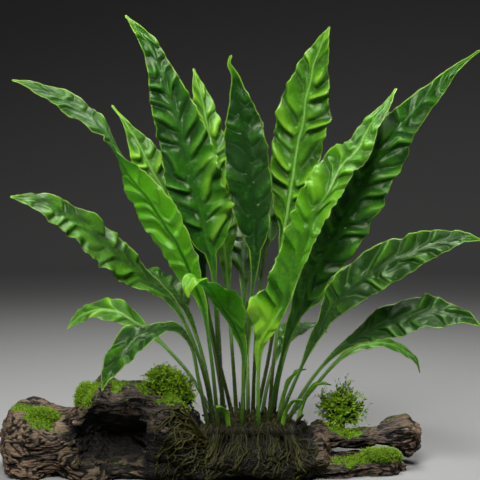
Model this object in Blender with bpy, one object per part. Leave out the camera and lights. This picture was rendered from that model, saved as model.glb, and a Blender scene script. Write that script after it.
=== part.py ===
"""A java fern grown on a piece of driftwood. Metres, +Z up, with the front towards -Y.

The origin is on the flat underside of the wood, below the middle of the fern's crown.
Sizes below are in millimetres, and the meshes are made in metres.
"""

import math
from typing import NamedTuple

import bmesh
import bpy
from mathutils import Vector

MM = 0.001
GAP = 0.3  # between neighbours that touch

# The front view in which the fronds are set out
VIEW_DISTANCE = 800.0
VIEW_HEIGHT = 137.0
VIEW_PITCH = math.radians(4.0)

# Fronds
STALK_RADIUS = 1.0
HEEL_RADIUS = 1.25
BLADE_HALF_THICKNESS = 0.42
TIP_RADIUS = 0.12
TIP_THINNING = 4.0  # times the half thickness that the last of the blade thins from
RIB_SHARE = 0.22  # of the half width, where the blade is thickest
SIX_SIDED = math.cos(math.radians(30.0))  # from the middle of a six-sided stalk to its flats
STALK_RINGS = 4
BLADE_RINGS = 12
KEEL = 0.10  # rise of the edges for each millimetre of half width
RUFFLE = 0.09  # the waves of the edges, for each millimetre of half width
RIGHT_WAVE = -0.8  # the right edge's waves, against the left edge's
WAVES = 4.5  # along one blade
OPENS_OVER = 0.10  # share of the blade in which the stalk becomes a blade

# Arching fronds: the shares of reach and rise at the two knees of their curve, and their outline
LOW_KNEE = (0.10, 0.62)
HIGH_KNEE = (0.50, 1.06)
ARCH_STEPS = 12
OUTLINE_LEAN = 0.85  # under 1 puts the widest place nearer to the foot
OUTLINE_FULLNESS = 0.8  # under 1 makes the blade fuller

# Rhizome
RHIZOME_RADIUS = 3.6
RHIZOME_AXIS = 23.6
CROWN_TOP = RHIZOME_AXIS + RHIZOME_RADIUS + GAP
RHIZOME_SIDES = 8
RHIZOME_STEP = 7.0
RHIZOME_BLUNTNESS = 8  # a higher power keeps the strand thick nearer to its ends
RHIZOME_TIP = 0.05
RHIZOME_SWELLING = 0.05
SWELLING_TURN = 2.1  # radians from one ring to the next
SWAY_TURN = 1.3

# Driftwood. A knob is waves about the limb, turn with its length in radians a millimetre, and height.
WOOD_SIDES = 21
WOOD_KNOBS = ((3, 0.11, 0.035), (5, -0.17, 0.035), (8, 0.06, 0.022))
FORK_LEFT = -50.0
FORK_RIGHT = 48.0
WOOD_SQUARENESS = 2.5
HOLLOW_MIDDLE = -72.0
HOLLOW_HALF_LENGTH = 19.0
HOLLOW_FROM_TOP = math.radians(82.0)
HOLLOW_HALF_ANGLE = math.radians(30.0)
HOLLOW_DEPTH = 0.70
HOLLOW_EDGE = 4.0  # how suddenly the hollow begins

# Roots and moss
ROOT_THICKNESS = 2.6
MOSS_FINENESS = 2
MOSS_LUMPS = 0.08

SMOOTH_ANGLE = math.radians(50.0)
FINE_STEPS = 12  # between two rows of a smooth curve


class Frond(NamedTuple):
    """A frond as seen from the front: the heel's x and y, then rows from the heel to the tip.

    A stalk row is (across, up, depth). A blade row adds the half widths on the frond's own left
    and right. Each entry of faces is a share of the blade and the way its upper side faces there.
    """

    heel: tuple
    stalk: tuple
    blade: tuple
    faces: tuple
    ruffle: float = 1.0


SHOWN_FRONDS = {
    "frond_tall_left": Frond(
        heel=(-9.0, -2.0),
        stalk=((-13, 71, -6), (-15, 101, -9)),
        blade=(
            (-17, 126, -10, 1, 1),
            (-20, 136, -11, 8, 13),
            (-22, 147, -12, 12, 17),
            (-26, 163, -12, 15, 18),
            (-32, 187, -11, 15, 17),
            (-40, 216, -8, 13, 12),
            (-49, 242, -4, 7, 7),
            (-60, 262, 0, 3.5, 3.5),
            (-69, 272, 2, 0, 0),
        ),
        faces=((0.0, (0.1, -1.0, 0.0)), (1.0, (0.1, -1.0, 0.2))),
    ),
    "frond_left_of_centre": Frond(
        heel=(-2.0, 10.0),
        stalk=((-5, 75, 18), (-7, 100, 24)),
        blade=(
            (-8, 118, 28, 1, 1),
            (-10, 140, 32, 9, 8),
            (-12, 163, 35, 13, 11),
            (-16, 188, 38, 13, 11),
            (-20, 210, 41, 10, 8),
            (-24, 226, 44, 5, 5),
            (-28, 240, 47, 0, 0),
        ),
        faces=((0.0, (0.1, -1.0, 0.1)), (1.0, (0.3, -1.0, 0.5))),
    ),
    "frond_centre": Frond(
        heel=(1.0, -2.0),
        stalk=((4, 77, 0), (7, 104, 2)),
        blade=(
            (9, 125, 3, 1, 1),
            (9, 138, 4, 7, 7),
            (8, 155, 5, 12, 11),
            (5, 180, 6, 14, 13),
            (2, 204, 7, 11, 12),
            (-1, 223, 8, 6, 7),
            (-4, 238, 9, 3, 2.5),
            (-5, 248, 10, 0, 0),
        ),
        faces=((0.0, (0.0, -1.0, 0.0)), (1.0, (-0.1, -1.0, 0.1))),
    ),
    "frond_tall_right": Frond(
        heel=(10.0, 10.0),
        stalk=((19, 77, 16), (23, 108, 19)),
        blade=(
            (26, 138, 21, 1, 1),
            (28, 151, 22, 7, 6),
            (30, 164, 23, 11, 11),
            (34, 190, 24, 16, 15),
            (37, 206, 24, 17, 16),
            (40, 224, 24, 14, 14),
            (44, 240, 24, 10, 10),
            (49, 255, 23, 4.5, 5.5),
            (54, 265, 22, 0, 0),
        ),
        faces=((0.0, (-0.1, -1.0, 0.1)), (1.0, (-0.3, -1.0, 0.2))),
    ),
    "frond_front_right": Frond(
        heel=(11.0, -14.0),
        stalk=((11, 55, -25),),
        blade=(
            (12, 74, -32, 1, 1),
            (20, 88, -38, 16, 2.5),
            (28, 102, -41, 14, 3),
            (35, 124, -42, 12, 4),
            (43, 148, -41, 13, 7),
            (53, 167, -38, 13, 8),
            (60, 180, -34, 12, 9),
            (71, 193, -28, 8, 8),
            (81, 210, -19, 5, 5),
            (89, 220, -12, 2.5, 2.5),
            (94, 228, -6, 0, 0),
        ),
        faces=((0.0, (0.0, -1.0, 0.1)), (0.5, (-0.1, -1.0, 0.2)), (1.0, (-0.3, -0.8, 0.6))),
    ),
    "frond_long_right": Frond(
        heel=(17.0, -2.0),
        stalk=((24, 62, -6),),
        blade=(
            (30, 84, -9, 1, 1),
            (37, 101, -11, 6, 7),
            (46, 120, -13, 9, 11),
            (57, 139, -14, 12, 14),
            (67, 157, -13, 13, 15),
            (76, 174, -11, 13, 15),
            (87, 193, -8, 12, 14),
            (101, 211, -3, 9, 9),
            (117, 228, 4, 5, 6),
            (130, 240, 10, 2.5, 2.5),
            (144, 251, 16, 0, 0),
        ),
        faces=((0.0, (0.1, -1.0, 0.0)), (1.0, (-0.1, -1.0, 0.3))),
    ),
    "frond_arching_right": Frond(
        heel=(23.0, -2.0),
        stalk=((36, 59, -14),),
        blade=(
            (44, 77, -20, 1, 1),
            (50, 87, -24, 4, 3),
            (58, 98, -28, 9, 7),
            (70, 111, -32, 12, 11),
            (84, 120, -35, 13, 12),
            (98, 127, -37, 12, 11),
            (113, 134, -38, 9, 9),
            (130, 138, -38, 5.5, 5),
            (146, 137, -38, 0, 0),
        ),
        faces=((0.0, (0.1, -0.9, 0.4)), (1.0, (0.1, -0.8, 0.6))),
    ),
    "frond_low_right": Frond(
        heel=(29.0, -2.0),
        stalk=((38, 46, -6), (50, 62, -9)),
        blade=(
            (62, 73, -12, 1, 1),
            (72, 79, -15, 5, 5),
            (84, 85, -19, 9, 9),
            (97, 90, -23, 11, 11),
            (110, 93, -27, 11, 11),
            (122, 93, -31, 9, 9),
            (134, 91, -34, 5.5, 5.5),
            (145, 85, -37, 0, 0),
        ),
        faces=((0.0, (0.0, -0.8, 0.5)), (1.0, (0.0, -0.7, 0.7))),
    ),
    "frond_drooping_right": Frond(
        heel=(30.0, 10.0),
        stalk=((44, 48, 20), (56, 62, 28)),
        blade=(
            (66, 70, 33, 1, 1),
            (76, 74, 37, 5, 5),
            (88, 75, 41, 6.5, 6.5),
            (98, 71, 44, 6, 6),
            (105, 65, 46, 3.5, 3.5),
            (108, 57, 48, 0, 0),
        ),
        faces=((0.0, (0.0, -0.4, 1.0)), (1.0, (0.7, -0.4, 0.6))),
    ),
    "frond_twisted_left": Frond(
        heel=(-13.0, -14.0),
        stalk=((-18, 72, -20),),
        blade=(
            (-23, 100, -25, 1, 1),
            (-26, 108, -27, 4, 6),
            (-31, 120, -29, 7, 9),
            (-39, 136, -30, 9, 11),
            (-46, 148, -30, 11, 12),
            (-55, 162, -29, 10, 11),
            (-64, 173, -27, 9, 9),
            (-72, 184, -25, 8, 8),
            (-77, 194, -23, 8, 8),
            (-85, 205, -20, 8, 8),
            (-96, 214, -16, 7.5, 7.5),
            (-108, 222, -12, 6, 6),
            (-123, 229, -8, 3.5, 3.5),
            (-137, 233, -5, 0, 0),
        ),
        faces=(
            (0.0, (0.2, 1.0, 0.0)),
            (0.42, (0.3, 1.0, 0.2)),
            (0.56, (0.9, 0.1, 0.5)),
            (0.70, (0.3, -0.8, 0.7)),
            (1.0, (0.1, -0.8, 0.6)),
        ),
    ),
    "frond_wavy_left": Frond(
        heel=(-16.0, -2.0),
        stalk=((-22, 58, -12), (-31, 83, -20)),
        blade=(
            (-41, 100, -27, 1, 1),
            (-51, 109, -33, 6, 5),
            (-59, 115, -37, 9, 6),
            (-70, 126, -42, 13, 8),
            (-83, 138, -47, 14.5, 9),
            (-96, 147, -51, 14, 9),
            (-108, 154, -55, 11, 8),
            (-122, 160, -59, 6.5, 6),
            (-138, 163, -63, 0, 0),
        ),
        faces=((0.0, (0.1, -0.8, 0.6)), (1.0, (0.1, -0.8, 0.6))),
        ruffle=1.5,
    ),
    "frond_drooping_left": Frond(
        heel=(-19.0, -14.0),
        stalk=((-25, 54, -24), (-30, 75, -31)),
        blade=(
            (-36, 83, -37, 1, 1),
            (-45, 85, -42, 3, 3),
            (-54, 82, -46, 6, 6),
            (-63, 77, -49, 9, 9),
            (-70, 70, -52, 9, 9),
            (-76, 62, -54, 7, 7),
            (-80, 55, -56, 4, 4),
            (-83, 46, -58, 0, 0),
        ),
        faces=((0.0, (0.2, -0.8, 0.6)), (0.4, (-0.1, -0.8, 0.7)), (1.0, (-0.8, -0.7, 0.1))),
    ),
    "frond_rear_left_low": Frond(
        heel=(-16.0, 10.0),
        stalk=((-30, 56, 24), (-44, 72, 36)),
        blade=(
            (-55, 82, 44, 1, 1),
            (-64, 89, 49, 6, 6),
            (-74, 94, 53, 9, 9),
            (-86, 95, 57, 9, 9),
            (-96, 91, 60, 6.5, 6.5),
            (-104, 83, 63, 0, 0),
        ),
        faces=((0.0, (0.0, -0.6, 0.8)), (1.0, (-0.4, -0.6, 0.7))),
    ),
    "frond_rear_left": Frond(
        heel=(-9.0, 10.0),
        stalk=((-17, 80, 22),),
        blade=(
            (-24, 112, 28, 1, 1),
            (-29, 127, 31, 7, 7),
            (-36, 144, 34, 11, 11),
            (-43, 160, 37, 13, 13),
            (-50, 175, 40, 13, 13),
            (-58, 190, 43, 9.5, 9.5),
            (-67, 205, 46, 4.5, 4.5),
            (-77, 218, 49, 0, 0),
        ),
        faces=((0.0, (0.2, -1.0, 0.2)), (1.0, (0.3, -1.0, 0.6))),
    ),
    "frond_curled_front": Frond(
        heel=(1.0, -14.0),
        stalk=((2, 52, -27),),
        blade=(
            (1, 76, -38, 1, 1),
            (-5, 88, -44, 9, 4),
            (-11, 98, -49, 13, 5),
            (-17, 106, -54, 14, 6),
            (-23, 112, -59, 12, 7),
            (-28, 114, -63, 6, 6),
            (-31, 109, -66, 4, 4),
            (-31, 102, -66, 0, 0),
        ),
        faces=(
            (0.0, (0.3, 1.0, 0.2)),
            (0.6, (0.4, 0.7, 0.8)),
            (0.82, (0.0, -0.3, 1.0)),
            (1.0, (-0.6, -1.0, 0.2)),
        ),
        ruffle=0.6,
    ),
    "frond_shaded_centre": Frond(
        heel=(-5.0, 21.0),
        stalk=((-16, 80, 14), (-20, 100, 13)),
        blade=(
            (-23, 116, 12, 1, 1),
            (-25, 132, 12, 10, 9),
            (-28, 150, 13, 12, 11),
            (-31, 168, 14, 9, 8),
            (-35, 186, 15, 0, 0),
        ),
        faces=((0.0, (0.0, -1.0, 0.0)), (1.0, (0.1, -1.0, 0.3))),
    ),
}


class Arch(NamedTuple):
    """A frond that rises from its heel and arches outwards, the way azimuth points from +X to +Y."""

    heel: tuple
    azimuth: float
    reach: float
    height: float
    droop: float
    half_width: float
    stalk_share: float = 0.4


ARCHING_FRONDS = {
    "frond_rear_1": Arch((2.0, 21.0), 88, 62, 152, 10, 14),
    "frond_rear_2": Arch((8.0, 21.0), 66, 58, 176, 8, 14),
    "frond_rear_3": Arch((-11.0, 21.0), 112, 62, 172, 8, 13),
    "frond_rear_4": Arch((21.0, 21.0), 38, 72, 116, 10, 12),
    "frond_rear_5": Arch((-17.0, 21.0), 140, 76, 120, 12, 12),
    "frond_rear_6": Arch((14.0, 21.0), 58, 84, 88, 20, 12),
    "frond_rear_7": Arch((5.0, 10.0), 92, 84, 104, 22, 12),
    "frond_rear_8": Arch((18.0, 10.0), 52, 62, 148, 10, 12),
    "frond_young_1": Arch((25.0, -14.0), -30, 14, 44, 0, 3, 0.5),
    "frond_young_2": Arch((-7.0, -14.0), 235, 12, 40, 0, 3, 0.5),
    "frond_young_3": Arch((35.0, -2.0), 20, 22, 52, 4, 4, 0.5),
    "frond_young_4": Arch((24.0, 10.0), 20, 18, 56, 0, 4, 0.5),
}

# Rhizome strands: the x of both ends, the y they run at, and the sway to either side
RHIZOMES = {
    "rhizome_main_stem": (-20.0, 41.0, -2.0, 0.8),
    "rhizome_front_branch": (-23.0, 29.0, -14.0, 0.6),
    "rhizome_back_branch": (-20.0, 34.0, 10.0, 0.6),
    "rhizome_rear_branch": (-21.0, 25.0, 21.0, 0.5),
}

# Driftwood limbs, as rows of x, front, back, lowest and highest. What is below zero is cut off flat.
LIMBS = {
    "driftwood_log": (
        (FORK_LEFT + GAP, -43, 45, -8, 44),
        (-38, -47, 40, -8, 42),
        (-29, -49, 36, -6, 31),
        (-22, -48, 35, -4, 19.5),
        (-4, -46, 38, -4, 19),
        (12, -43, 42, -4, 18.5),
        (28, -42, 39, -4, 18.5),
        (40, -40, 33, -4, 20),
        (FORK_RIGHT - GAP, -37, 30, -4, 23),
    ),
    "driftwood_left_limb": (
        (-141, -20, 20, 6, 31),
        (-138, -29, 28, -4, 35),
        (-129, -37, 31, -10, 38),
        (-119, -41, 36, -10, 36.5),
        (-110, -38, 42, -10, 33),
        (-99, -43, 40, -10, 36),
        (-91, -46, 36, -10, 46),
        (-84, -46, 38, -10, 54),
        (-75, -44, 46, -10, 50),
        (-64, -46, 50, -10, 50),
        (FORK_LEFT - GAP, -43, 46, -8, 45),
    ),
    "driftwood_upper_branch": (
        (FORK_RIGHT + GAP, -12, 28, 11, 23.5),
        (56, -10, 24, 11, 22.5),
        (65, -8, 20, 11, 19.5),
        (76, -8, 20, 11, 21),
        (88, -9, 22, 12, 24.5),
        (97, -9, 20, 9, 28),
        (103, -8, 18, 3, 29),
        (107, -5, 13, 8, 25),
    ),
    "driftwood_lower_branch": (
        (FORK_RIGHT + GAP, -36, 8, -4, 10.4),
        (60, -35, 6, -4, 9.6),
        (74, -29, 5, -4, 10),
        (86, -27, 0, -4, 11),
        (94, -22, -4, -3, 8.5),
        (97, -17, -9, -1, 5),
    ),
}
LIMB_STATIONS = {
    "driftwood_log": 16,
    "driftwood_left_limb": 23,
    "driftwood_upper_branch": 13,
    "driftwood_lower_branch": 10,
}


class Cushion(NamedTuple):
    """A cushion of moss: its middle, its half sizes and the limbs that it has grown on."""

    middle: tuple
    halves: tuple
    limbs: tuple


CUSHIONS = {
    "moss_left_end": Cushion((-119, -16, 32), (12, 10, 6), ("driftwood_left_limb",)),
    "moss_ledge_end": Cushion((-92, -6, 41), (6.5, 15, 11), ("driftwood_left_limb",)),
    "moss_on_ledge": Cushion((-43, 14, 42), (15, 13, 17), ("driftwood_left_limb", "driftwood_log")),
    "moss_tuft_right": Cushion((62, 16, 30), (16, 10, 17), ("driftwood_upper_branch", "driftwood_log")),
    "moss_lower_right": Cushion((84, -17, 9), (13, 9, 5), ("driftwood_lower_branch",)),
}


class RootMat(NamedTuple):
    """A mat of roots on the log: its reach from the crown, and its left and right at the top and foot."""

    near: float
    far: float
    top: tuple
    foot: tuple


ROOT_MATS = {
    "root_mat_front": RootMat(-18.4, -70.0, (-24.0, 40.0), (-48.0, 46.0)),
    "root_mat_back": RootMat(25.4, 70.0, (-20.0, 26.0), (-36.0, 38.0)),
}

# Colours, as base colour and roughness
LEAF_DARK = ((0.035, 0.15, 0.012), 0.32)
LEAF_LIT = ((0.17, 0.42, 0.02), 0.35)
LEAF_MIDDLE = ((0.08, 0.27, 0.018), 0.33)
LEAF_YOUNG = ((0.26, 0.48, 0.04), 0.40)
RHIZOME_BROWN = ((0.06, 0.045, 0.018), 0.75)
WOOD_PALE = ((0.30, 0.19, 0.14), 0.85)
WOOD_DARK = ((0.11, 0.065, 0.055), 0.85)
ROOT_OLIVE = ((0.075, 0.065, 0.022), 0.90)
MOSS_GREEN = ((0.20, 0.33, 0.03), 0.95)

FINISHES = {
    "frond_tall_left": LEAF_DARK,
    "frond_centre": LEAF_DARK,
    "frond_long_right": LEAF_DARK,
    "frond_shaded_centre": LEAF_DARK,
    "frond_front_right": LEAF_LIT,
    "frond_twisted_left": LEAF_LIT,
    "frond_curled_front": LEAF_LIT,
    "frond_drooping_right": LEAF_LIT,
    "driftwood_left_limb": WOOD_PALE,
}
FINISH_BY_KIND = {
    "frond_young": LEAF_YOUNG,
    "frond": LEAF_MIDDLE,
    "rhizome": RHIZOME_BROWN,
    "driftwood": WOOD_DARK,
    "root": ROOT_OLIVE,
    "moss": MOSS_GREEN,
}


def clear_scene():
    """Removes every object that the file opened with."""
    for thing in list(bpy.data.objects):
        bpy.data.objects.remove(thing, do_unlink=True)


def finish_for(name):
    """The material of a named piece."""
    kinds = [kind for kind in FINISH_BY_KIND if name.startswith(kind)]
    colour, roughness = FINISHES.get(name, FINISH_BY_KIND[kinds[0]])
    material = bpy.data.materials.new(name + "_finish")
    material.use_nodes = True
    shader = material.node_tree.nodes["Principled BSDF"]
    shader.inputs["Base Color"].default_value = (*colour, 1.0)
    shader.inputs["Roughness"].default_value = roughness
    shader.inputs["Metallic"].default_value = 0.0
    material.diffuse_color = (*colour, 1.0)
    return material


def add_loft(name, rings):
    """Adds a closed body that runs through rings of points in millimetres, with flat ends.

    The triangles of a ring's two halves mirror each other, so that a thin blade is nowhere thinner.
    """
    shape = bmesh.new()
    loops = [[shape.verts.new(point * MM) for point in ring] for ring in rings]
    sides = len(loops[0])
    for first, second in zip(loops, loops[1:]):
        for i in range(sides):
            after = (i + 1) % sides
            if i < sides // 2:
                shape.faces.new((first[i], first[after], second[after]))
                shape.faces.new((first[i], second[after], second[i]))
            else:
                shape.faces.new((first[i], first[after], second[i]))
                shape.faces.new((first[after], second[after], second[i]))
    shape.faces.new(loops[0][::-1])
    shape.faces.new(loops[-1])
    return add_object(name, shape)


def add_object(name, shape):
    """Turns a bmesh into a shaded object with its own material."""
    bmesh.ops.recalc_face_normals(shape, faces=shape.faces)
    mesh = bpy.data.meshes.new(name)
    shape.to_mesh(mesh)
    shape.free()
    mesh.shade_smooth()
    mesh.set_sharp_from_angle(angle=SMOOTH_ANGLE)
    mesh.materials.append(finish_for(name))
    thing = bpy.data.objects.new(name, mesh)
    bpy.context.collection.objects.link(thing)
    return thing


def seen_at(across, up, depth):
    """The point at a depth that the front view shows at a place of the plane through the crown."""
    sine, cosine = math.sin(VIEW_PITCH), math.cos(VIEW_PITCH)
    height = up - VIEW_HEIGHT
    lift = height * (1.0 + depth * cosine / VIEW_DISTANCE) - depth * sine
    lift /= cosine + height * sine / VIEW_DISTANCE
    spread = 1.0 + (depth * cosine - lift * sine) / VIEW_DISTANCE
    return Vector((across * spread, depth, VIEW_HEIGHT + lift))


def smooth_rows(rows):
    """Rows along a smooth curve through the given rows. The first three values are a place."""
    gaps = [(Vector(b[:3]) - Vector(a[:3])).length for a, b in zip(rows, rows[1:])]
    slopes = [[(b - a) / gap for a, b in zip(low, high)] for low, high, gap in zip(rows, rows[1:], gaps)]
    tangents = [slopes[0]]
    for before, after, gap_before, gap_after in zip(slopes, slopes[1:], gaps, gaps[1:]):
        whole = gap_before + gap_after
        tangents.append([(a * gap_after + b * gap_before) / whole for a, b in zip(before, after)])
    tangents.append(slopes[-1])
    fine = []
    for i, gap in enumerate(gaps):
        for step in range(FINE_STEPS):
            t = step / FINE_STEPS
            start, leave = 2 * t**3 - 3 * t**2 + 1, t**3 - 2 * t**2 + t
            stop, arrive = 3 * t**2 - 2 * t**3, t**3 - t**2
            ends = zip(rows[i], tangents[i], rows[i + 1], tangents[i + 1])
            fine.append([a * start + p * gap * leave + b * stop + q * gap * arrive for a, p, b, q in ends])
    fine.append(list(rows[-1]))
    return fine


def lengths_along(rows):
    """The length of the curve up to each row."""
    total = [0.0]
    for a, b in zip(rows, rows[1:]):
        total.append(total[-1] + (Vector(b[:3]) - Vector(a[:3])).length)
    return total


def row_at(rows, lengths, length):
    """The row at a length along the curve, and the direction of the curve there."""
    i = 0
    while i < len(rows) - 2 and lengths[i + 1] < length:
        i += 1
    share = (length - lengths[i]) / max(lengths[i + 1] - lengths[i], 1e-9)
    row = [a + (b - a) * share for a, b in zip(rows[i], rows[i + 1])]
    behind, ahead = rows[max(i - 1, 0)], rows[min(i + 2, len(rows) - 1)]
    return row, (Vector(ahead[:3]) - Vector(behind[:3])).normalized()


def facing_at(faces, share):
    """The way that the blade's upper side faces at a share of its length."""
    for (low, first), (high, second) in zip(faces, faces[1:]):
        if share <= high:
            part = max(share - low, 0.0) / (high - low)
            return Vector(first).normalized().lerp(Vector(second).normalized(), part)
    return Vector(faces[-1][1])


def ease(low, high, value):
    """Rises smoothly from 0 at low to 1 at high."""
    t = min(max((value - low) / (high - low), 0.0), 1.0)
    return t * t * (3.0 - 2.0 * t)


def frond_ring(row, along, facing, thick, lifts):
    """The six corners of a frond's section: both edges, and the rib above and below."""
    centre = Vector(row[:3])
    left, right = row[3], row[4]
    up = (facing - along * facing.dot(along)).normalized()
    side = along.cross(up)
    rib_left, rib_right = (max(half * RIB_SHARE, thick * 0.5) for half in (left, right))
    return [
        centre - side * left + up * lifts[0],
        centre - side * rib_left - up * thick,
        centre + side * rib_right - up * thick,
        centre + side * right + up * lifts[1],
        centre + side * rib_right + up * thick,
        centre - side * rib_left + up * thick,
    ]


def add_frond(name, places, widths, faces, ruffle):
    """Adds one frond, with its blade on the last places, one for each pair of half widths."""
    first_blade = len(places) - len(widths)
    halves = [(STALK_RADIUS, STALK_RADIUS)] * first_blade + list(widths)
    rows = smooth_rows([(*place, *pair) for place, pair in zip(places, halves)])
    lengths = lengths_along(rows)
    foot, whole = lengths[first_blade * FINE_STEPS], lengths[-1]
    rings = []
    for i in range(STALK_RINGS):
        share = i / STALK_RINGS
        row, along = row_at(rows, lengths, foot * share)
        radius = HEEL_RADIUS + (STALK_RADIUS - HEEL_RADIUS) * share
        row[3] = row[4] = radius
        rings.append(frond_ring(row, along, facing_at(faces, 0.0), radius * SIX_SIDED, (0.0, 0.0)))
    for i in range(BLADE_RINGS):
        share = i / (BLADE_RINGS - 1)
        row, along = row_at(rows, lengths, foot + (whole - foot) * share)
        narrowest = TIP_RADIUS + (STALK_RADIUS - TIP_RADIUS) * (1.0 - share)
        row[3:] = [max(half, narrowest) for half in row[3:]]
        opened = ease(0.0, OPENS_OVER, share)
        thick = STALK_RADIUS * SIX_SIDED * (1.0 - opened) + BLADE_HALF_THICKNESS * opened
        thick = min(thick, BLADE_HALF_THICKNESS * (1.0 - share) * TIP_THINNING + TIP_RADIUS)
        wave = RUFFLE * ruffle * math.sin(math.tau * WAVES * share)
        lifts = (row[3] * opened * (KEEL + wave), row[4] * opened * (KEEL + RIGHT_WAVE * wave))
        rings.append(frond_ring(row, along, facing_at(faces, share), thick, lifts))
    add_loft(name, rings)


def add_shown_frond(name, frond):
    """Adds a frond that is set out in the front view."""
    places = [Vector((*frond.heel, CROWN_TOP))]
    places += [seen_at(*row) for row in frond.stalk]
    places += [seen_at(*row[:3]) for row in frond.blade]
    add_frond(name, places, [row[3:] for row in frond.blade], frond.faces, frond.ruffle)


def add_arching_frond(name, arch):
    """Adds a frond that arches outwards on a curve of three knees."""
    way = Vector((math.cos(math.radians(arch.azimuth)), math.sin(math.radians(arch.azimuth)), 0.0))
    heel = Vector((*arch.heel, CROWN_TOP))
    rise = Vector((0.0, 0.0, arch.height - CROWN_TOP))
    knees = (
        heel,
        heel + way * arch.reach * LOW_KNEE[0] + rise * LOW_KNEE[1],
        heel + way * arch.reach * HIGH_KNEE[0] + rise * HIGH_KNEE[1],
        heel + way * arch.reach + rise - Vector((0.0, 0.0, arch.droop)),
    )
    curve = []
    for i in range(ARCH_STEPS + 1):
        a, b = i / ARCH_STEPS, 1 - i / ARCH_STEPS
        curve.append(knees[0] * b**3 + knees[1] * 3 * a * b**2 + knees[2] * 3 * a**2 * b + knees[3] * a**3)
    last = ARCH_STEPS - round(arch.stalk_share * ARCH_STEPS)
    bulges = [math.sin(math.pi * (i / last) ** OUTLINE_LEAN) for i in range(last)]
    halves = [arch.half_width * bulge**OUTLINE_FULLNESS for bulge in bulges] + [0.0]
    faces = ((0.0, tuple(-way)), (1.0, tuple(Vector((0.0, 0.0, 1.0)) - way * 0.3)))
    add_frond(name, curve, [(half, half) for half in halves], faces, 1.0)


def add_rhizome(name, start, stop, depth, sway):
    """Adds a creeping strand with rounded ends and swollen joints."""
    steps = round((stop - start) / RHIZOME_STEP)
    rings = []
    for i in range(steps + 1):
        share = i / steps
        roundness = math.sqrt(max(1.0 - (2.0 * share - 1.0) ** RHIZOME_BLUNTNESS, RHIZOME_TIP))
        swelling = 1.0 - RHIZOME_SWELLING * (1.0 - math.cos(i * SWELLING_TURN))
        radius = RHIZOME_RADIUS * roundness * swelling
        x = start + (stop - start) * share
        centre = Vector((x, depth + sway * math.sin(i * SWAY_TURN), RHIZOME_AXIS))
        turns = [math.tau * k / RHIZOME_SIDES for k in range(RHIZOME_SIDES)]
        rings.append([centre + Vector((0.0, math.cos(t), math.sin(t))) * radius for t in turns])
    add_loft(name, rings)


def limb_rings(name, grown=0.0):
    """The points of a driftwood limb, as rings about its length, or of the limb grown all round."""
    rows = smooth_rows([(row[0], 0.0, 0.0, *row[1:]) for row in LIMBS[name]])
    start, stop = rows[0][0], rows[-1][0]
    count = LIMB_STATIONS[name]
    rings = []
    for i in range(count):
        x = start + (stop - start) * i / (count - 1)
        low = max(k for k in range(len(rows) - 1) if rows[k][0] <= x + 1e-6)
        share = (x - rows[low][0]) / (rows[low + 1][0] - rows[low][0])
        extent = [a + (b - a) * share for a, b in zip(rows[low][3:], rows[low + 1][3:])]
        rings.append([wood_point(name, x, extent, math.tau * k / WOOD_SIDES) for k in range(WOOD_SIDES)])
    return grow(rings, grown) if grown else rings


def wood_point(name, x, extent, turn):
    """One point of a limb's section, knobbly, cut flat below and pressed in at the hollow."""
    front, back, bottom, top = extent
    cosine, sine = math.cos(turn), math.sin(turn)
    size = (abs(cosine) ** WOOD_SQUARENESS + abs(sine) ** WOOD_SQUARENESS) ** (-1.0 / WOOD_SQUARENESS)
    size *= 1.0 + sum(high * math.sin(count * turn + x * twist) for count, twist, high in WOOD_KNOBS)
    if name == "driftwood_left_limb":
        along = abs((x - HOLLOW_MIDDLE) / HOLLOW_HALF_LENGTH) ** HOLLOW_EDGE
        around = abs((turn - math.pi / 2.0 - HOLLOW_FROM_TOP) / HOLLOW_HALF_ANGLE) ** HOLLOW_EDGE
        size *= 1.0 - HOLLOW_DEPTH * math.exp(-along - around)
    y = (front + back) / 2.0 + (back - front) / 2.0 * size * cosine
    z = (bottom + top) / 2.0 + (top - bottom) / 2.0 * size * sine
    return Vector((x, y, max(z, 0.0)))


def grow(rings, distance):
    """Moves every point of the rings outwards, and the end rings along the limb too."""
    last, sides = len(rings) - 1, len(rings[0])
    grown = []
    for i, ring in enumerate(rings):
        way = Vector(((i == last) - (i == 0), 0.0, 0.0))
        moved = []
        for k, point in enumerate(ring):
            around = ring[(k + 1) % sides] - ring[k - 1]
            along = rings[min(i + 1, last)][k] - rings[max(i - 1, 0)][k]
            moved.append(point + (around.cross(along).normalized() + way) * distance)
        grown.append(moved)
    return grown


def cut(thing, tool, operation):
    """Cuts a thing with a tool, which is kept as a guide and not shown."""
    tool.hide_render = True
    tool.display_type = "WIRE"
    modifier = thing.modifiers.new(tool.name, "BOOLEAN")
    modifier.operation = operation
    modifier.solver = "EXACT"
    modifier.object = tool


def add_cushion(name, cushion, clearances):
    """Adds a lumpy cushion of moss that lies on its limbs."""
    shape = bmesh.new()
    bmesh.ops.create_icosphere(shape, subdivisions=MOSS_FINENESS, radius=1.0)
    for vert in shape.verts:
        lump = 1.0 + MOSS_LUMPS * math.sin(5.0 * vert.co.x + 3.0 * vert.co.z) * math.cos(4.0 * vert.co.y)
        vert.co = (Vector(cushion.middle) + Vector(cushion.halves) * vert.co * lump) * MM
    moss = add_object(name, shape)
    for limb in cushion.limbs:
        cut(moss, clearances[limb], "DIFFERENCE")


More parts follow.
